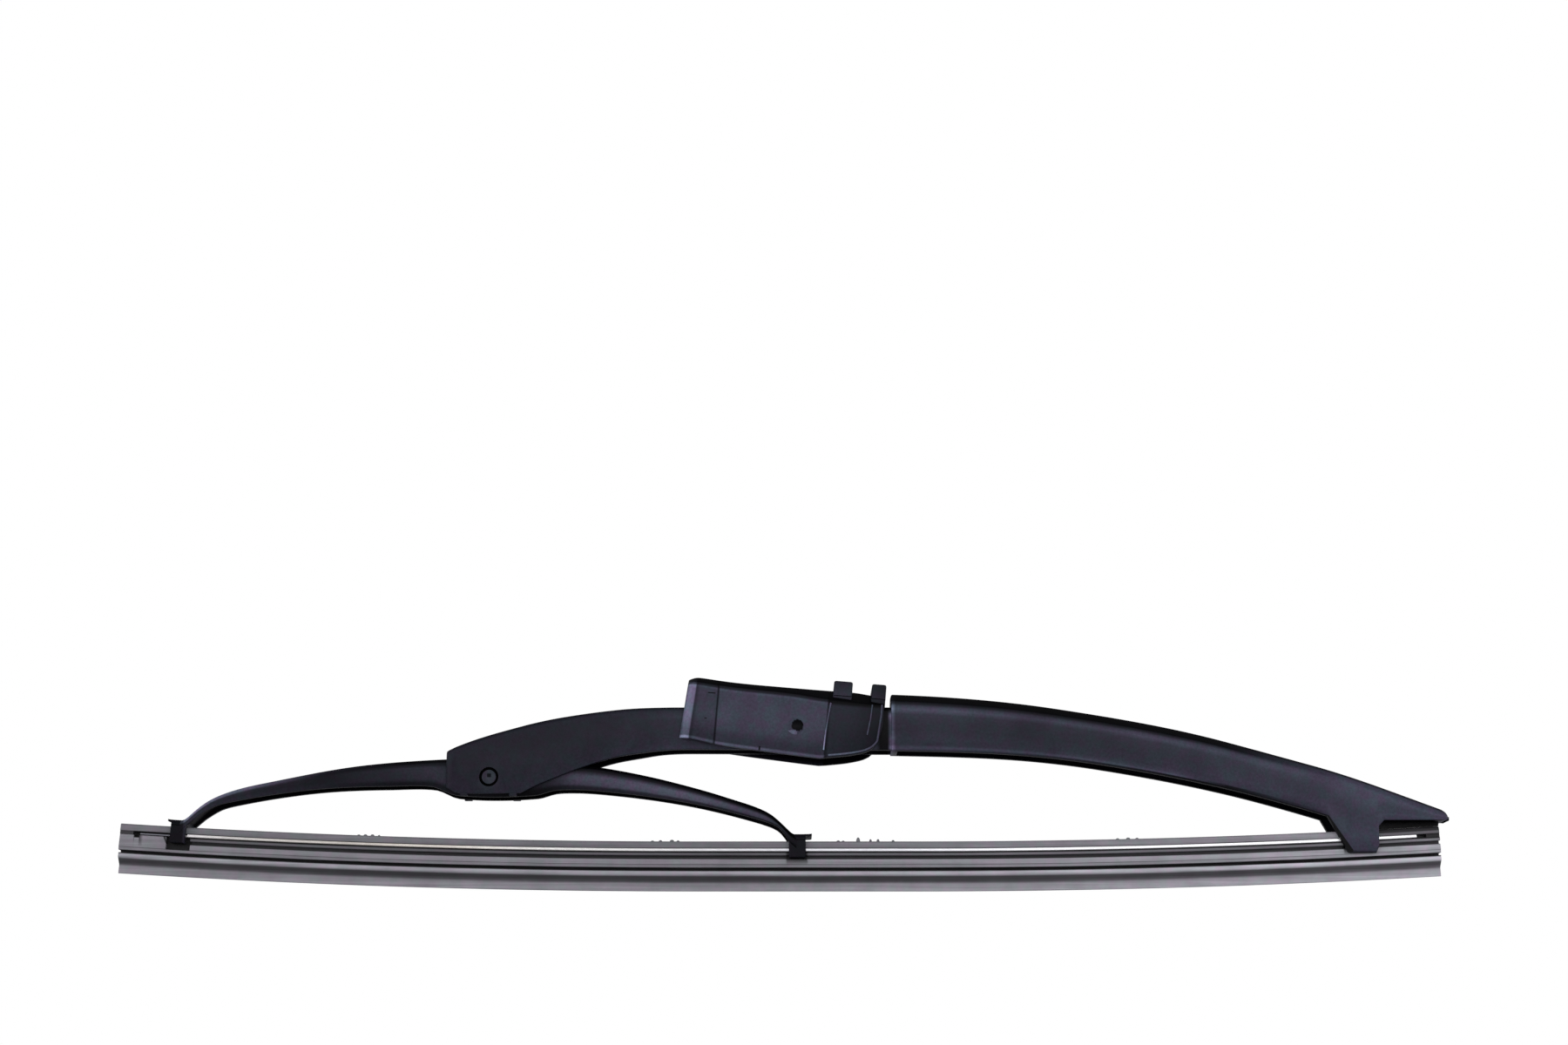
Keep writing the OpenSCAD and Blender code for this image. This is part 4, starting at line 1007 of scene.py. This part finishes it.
# the left end leans, its top towards the right: not at all at leanX, fully leanLength past it
leanTan = math.tan(math.radians(shellDims["lean"]))
leanX, leanZ, leanLength = -19, -4.5, 6


def leaning(part):
    verts, faces = part
    return [(x + (z - leanZ) * leanTan * max(0, min(1, (leanX - x) / leanLength)), y, z)
            for x, y, z in verts], faces


def unleaned(x, y, z):
    # The distance along the connector, measured square to its leaning end
    lean = (z - leanZ) * leanTan
    return x - lean * max(0, min(1, (leanX - x + lean) / leanLength))


xs = stations([
    left, left + 0.2, left + 0.5, left + 1.2, left + 2.1, left + 3.6, -18.3, -18.1, -16, -7, 6, 7.1,
    7.5, 14, 17.4, 18.3, 19, 19.45, right - 0.15, right], 1.2)
panel0, panel1, panelDepth = shellDims["panel"]
outer, inner = [], []
for x in xs:
    plan, bevel = cheekPlan(x), cheekShoulder(x)
    panel = panelDepth if panel0 < x < panel1 else 0
    outer.append(strip(x, plan - panel, cheekLow(x), deckLine(x), bevel - panel, 0.3, 0.3, 0.05))
    inner.append(strip(x, max(plan - shellDims["cheek"], 4.5), cheekLow(x),
                       deckLine(x) - shellDims["deckThick"], bevel * 0.55, 0.2, 0.1, 0.02))
body = makeObject("connector_shell", *turned(leaning(shell(outer, inner, 0, len(xs) - 1)), tilt))
hook1, length1 = shellDims["hook1"], shellDims["hook1Length"]
window0 = hook1 + length1
hook2 = window0 + shellDims["window"]
window = extrude([(window0, 5), (hook2, 5), (hook2, 13), (window0, 13)],
                 -shellDims["windowHalf"], shellDims["windowHalf"])
cut(body, turned(window, tilt))
tell(body, cheekLow, deckLine, cheekShoulder,
     hollow(lambda x: cheekPlan(x) - 0.9, deckLine, 1.2, 0.12), tilt, unleaned)
done(body, connectorMat, "arm_end", "connector_plastic", "connector")

# hooks with their side blocks, the raised seat, deck ribs and sockets for the pin
hooks = ((hook1, length1, shellDims["hook1Half"]),
         (hook2, right - hook2 + 0.2, shellDims["hook2Half"]))
crest = deck + shellDims["hookRise"]
top = []
for x, length, wide in hooks:
    outline = [(x, deck - 1.2), (x + length, deck - 1.2), (x + length, crest), (x, crest)]
    top.append(extrude(rounded(outline, [0.05, 0.05, 0.55, 0.55], 5), -wide, wide, 0.2))
    top += boxPair(x + 0.02, x + length - 0.02, 4.8, wide - 0.06, deck - 3.2, deck + 0.6, 0.12)
top.append(boxPart(-5, 7.6, -3.4, 3.4, 8.0, 9.3, 0.12))
for x in (-20, -12):
    top.append(boxPart(x, x + 1, -5.0, 5.0, 7.1, 8.0, 0.05))
top += [cylinderY(0, 0, 3.1, *sorted((s * 4.5, s * 6.35))) for s in (-1, 1)]
# the hooks' fronts and side blocks get a painted highlight, and the parts low under the deck a
# little painted shade
addPiece("connector_top", top, connectorMat, "arm_end", "connector_plastic",
         lambda x, y, z: 0.8 if z < 7.6 else 1.8 if abs(y) > 5 and z < 10.6 else 1.0, tilt)

# shallow domes over the pin's ends, with painted shade in the middle and a painted highlight at the
# lower left
domeR, rise = shellDims["dome"] / 2, shellDims["domeRise"]
ball = (domeR * domeR + rise * rise) / (2 * rise)
radii = [domeR * (1 - k / 9) for k in range(9)]
heights = [math.sqrt(ball * ball - r * r) - (ball - rise) for r in radii]
profile = [(6.3, domeR)] + [(6.45 + h, r) for h, r in zip(heights, radii)]
domes = [lathe(0, 0, [(s * w, r) for w, r in profile]) for s in (-1, 1)]
addPiece("connector_domes", domes, connectorMat, "arm_end", "connector_plastic",
         lambda x, y, z: 0.03 if math.hypot(x - 0.5, z - 0.25) < 1.35 else
         2.2 if x < 0.4 and z < -0.9 else 0.9)


def tube(points, radius, n=8):
    rings = []
    for i, p in enumerate(points):
        a, b = Vector(points[max(i - 1, 0)]), Vector(points[min(i + 1, len(points) - 1)])
        ahead = (b - a).normalized()
        u = ahead.cross(Vector((0, 1, 0))).normalized()
        w = ahead.cross(u)
        turns = [k * 2 * math.pi / n for k in range(n)]
        rings.append([tuple(Vector(p) + radius * (u * math.cos(t) + w * math.sin(t)))
                      for t in turns])
    return loft([rings])


# raised beads along the cheeks' lower and right edges, and the ridge beside the panel, painted
# bright as highlight lines
beads = []
for s in (-1, 1):
    edgeY = s * (cheekPlan(19.3) + 0.02)
    edgePath = [(19.3, edgeY, 6.6), (19.3, edgeY, 4.2)]
    for x in (18.8, 18.4, 17.9, 17.2, 16.2, 15, 13.5, 12, 10.5, 9, 7.9):
        edgePath.append((x, s * (cheekPlan(x) + 0.02), cheekLow(x) + 0.5))
    beads.append(tube(edgePath, 0.22))
    ridge = ((7.6, 6.0), (7.3, 3), (7.0, -0.5), (6.8, -4.9))
    beads.append(tube([(x, s * 6.98, z) for x, z in ridge], 0.17))
    edge = ((17.1, 6.4), (16.9, 3), (16.4, -0.6))
    beads.append(tube([(x, s * cheekPlan(x), z) for x, z in edge], 0.15))
# the notch in the lower edge, and the small marks beside the rim, drawn as dark boxes of painted
# shade
marks = []
for x0, x1, z0, z1, out in ((-7.95, -7.55, -6.1, -5.2, 6.78), (-20.5, -18.8, 6.0, 6.25, 7.02),
                            (-20.8, -20.2, 0.1, 0.3, 7.02)):
    marks += boxPair(x0, x1, out - 0.3, out, z0, z1, 0.01)
addPiece("connector_notch_shades", marks, connectorMat, "arm_end", "connector_plastic", 0.05, tilt)
# the beads' high level is a painted highlight
addPiece("connector_beads", beads, connectorMat, "arm_end", "connector_plastic", 6.5, tilt, 60)
print("connector built")

# Floor, light and camera, in metres. In the sky, each level is for a height from -1 to 1.
studio = {
    "floorZ": -0.10, "floorHalf": 3.0, "floor": (0.86, 0.86, 0.87), "worldStrength": 0.78,
    "sky": [(-1, 0.3), (-0.2, 0.5), (0.0, 1.0), (0.15, 1.2), (0.35, 0.8), (0.55, 0.42), (1, 0.40)],
    "skyHue": (0.98, 0.98, 1.02), "front": 1.15, "behind": 0.5, "leftSide": 1.5, "rightSide": 0.9,
    "cameraDistance": 0.5962, "cameraPitch": 13.3, "lens": 59.7, "sensor": 36, "imageWidth": 1800,
    "pixelsBelow": 270.5, "aim": (-0.0026, -0.0063)}
floorMat, tree, shader, coords = newMaterial("floor_paint")
speck = varied(tree, noise(tree, coords, 60, 3, 0.5), 0, 1)
paler = tuple(v * 1.03 for v in studio["floor"])
feed(tree, shader.inputs["Base Color"], mixColour(tree, speck, studio["floor"], paler))
shader.inputs["Roughness"].default_value = 0.85
wide = studio["floorHalf"]
mesh = bpy.data.meshes.new("floor")
mesh.from_pydata([(x, y, studio["floorZ"]) for x, y in
                  ((-wide, -wide), (wide, -wide), (wide, wide), (-wide, wide))], [], [(0, 1, 2, 3)])
floor = linked("floor", mesh)
mesh.materials.append(floorMat)

# a white background for the camera, and a soft sky that lights the blade
world = bpy.data.worlds.new("studio")
bpy.context.scene.world = world
world.use_nodes = True
tree = world.node_tree
tree.nodes.clear()
coords = tree.nodes.new("ShaderNodeTexCoord").outputs["Generated"]
toX, toY, toZ = addNode(tree, "ShaderNodeSeparateXYZ", {0: coords}).outputs
sky = colourAlong(tree, toZ, [(z, tuple(level * v for v in studio["skyHue"]))
                              for z, level in studio["sky"]])
strength = times(tree, ramp(tree, toY, -1, 1, studio["front"], studio["behind"]),
                 ramp(tree, toX, -1, 1, studio["leftSide"], studio["rightSide"]))
ambient = addNode(tree, "ShaderNodeBackground", {"Color": toned(tree, sky, strength),
                                                 "Strength": studio["worldStrength"]})
back = addNode(tree, "ShaderNodeBackground", {"Color": (1, 1, 1, 1), "Strength": 1.0})
seen = tree.nodes.new("ShaderNodeLightPath").outputs["Is Camera Ray"]
both = addNode(tree, "ShaderNodeMixShader", {0: seen, 1: ambient.outputs[0], 2: back.outputs[0]})
addNode(tree, "ShaderNodeOutputWorld", {0: both.outputs[0]})


def areaLight(name, place, target, size, tall, power):
    data = bpy.data.lights.new(name, "AREA")
    data.energy = power
    data.shape = "RECTANGLE"
    data.size = size
    data.size_y = tall
    light = linked(name, data)
    light.location = place
    light.rotation_euler = (Vector(target) - Vector(place)).to_track_quat("-Z", "Y").to_euler()


areaLight("left_panel", (-0.7, -0.35, 0.05), (0, 0, -0.01), 0.4, 0.4, 0.8)
areaLight("front_panel", (0.1, -0.8, 0.06), (0, 0, -0.02), 1.0, 0.25, 1.6)

camData = bpy.data.cameras.new("camera")
camData.sensor_width = studio["sensor"]
camData.lens = studio["lens"]
camData.clip_start = 0.01
camera = linked("camera", camData)
# the camera looks up at the blade, whose pivot is below the middle of the picture
pitch = math.radians(studio["cameraPitch"])
depth = studio["cameraDistance"]
down = studio["pixelsBelow"] / (studio["lens"] / studio["sensor"] * studio["imageWidth"]) * depth
aimX, aimZ = studio["aim"]
camera.location = (aimX, -(depth * math.cos(pitch) + down * math.sin(pitch)),
                   aimZ - (depth * math.sin(pitch) - down * math.cos(pitch)))
camera.rotation_euler = (math.pi / 2 + pitch, 0, 0)
bpy.context.scene.camera = camera
bpy.context.scene.view_settings.view_transform = "Standard"
print("studio ready")
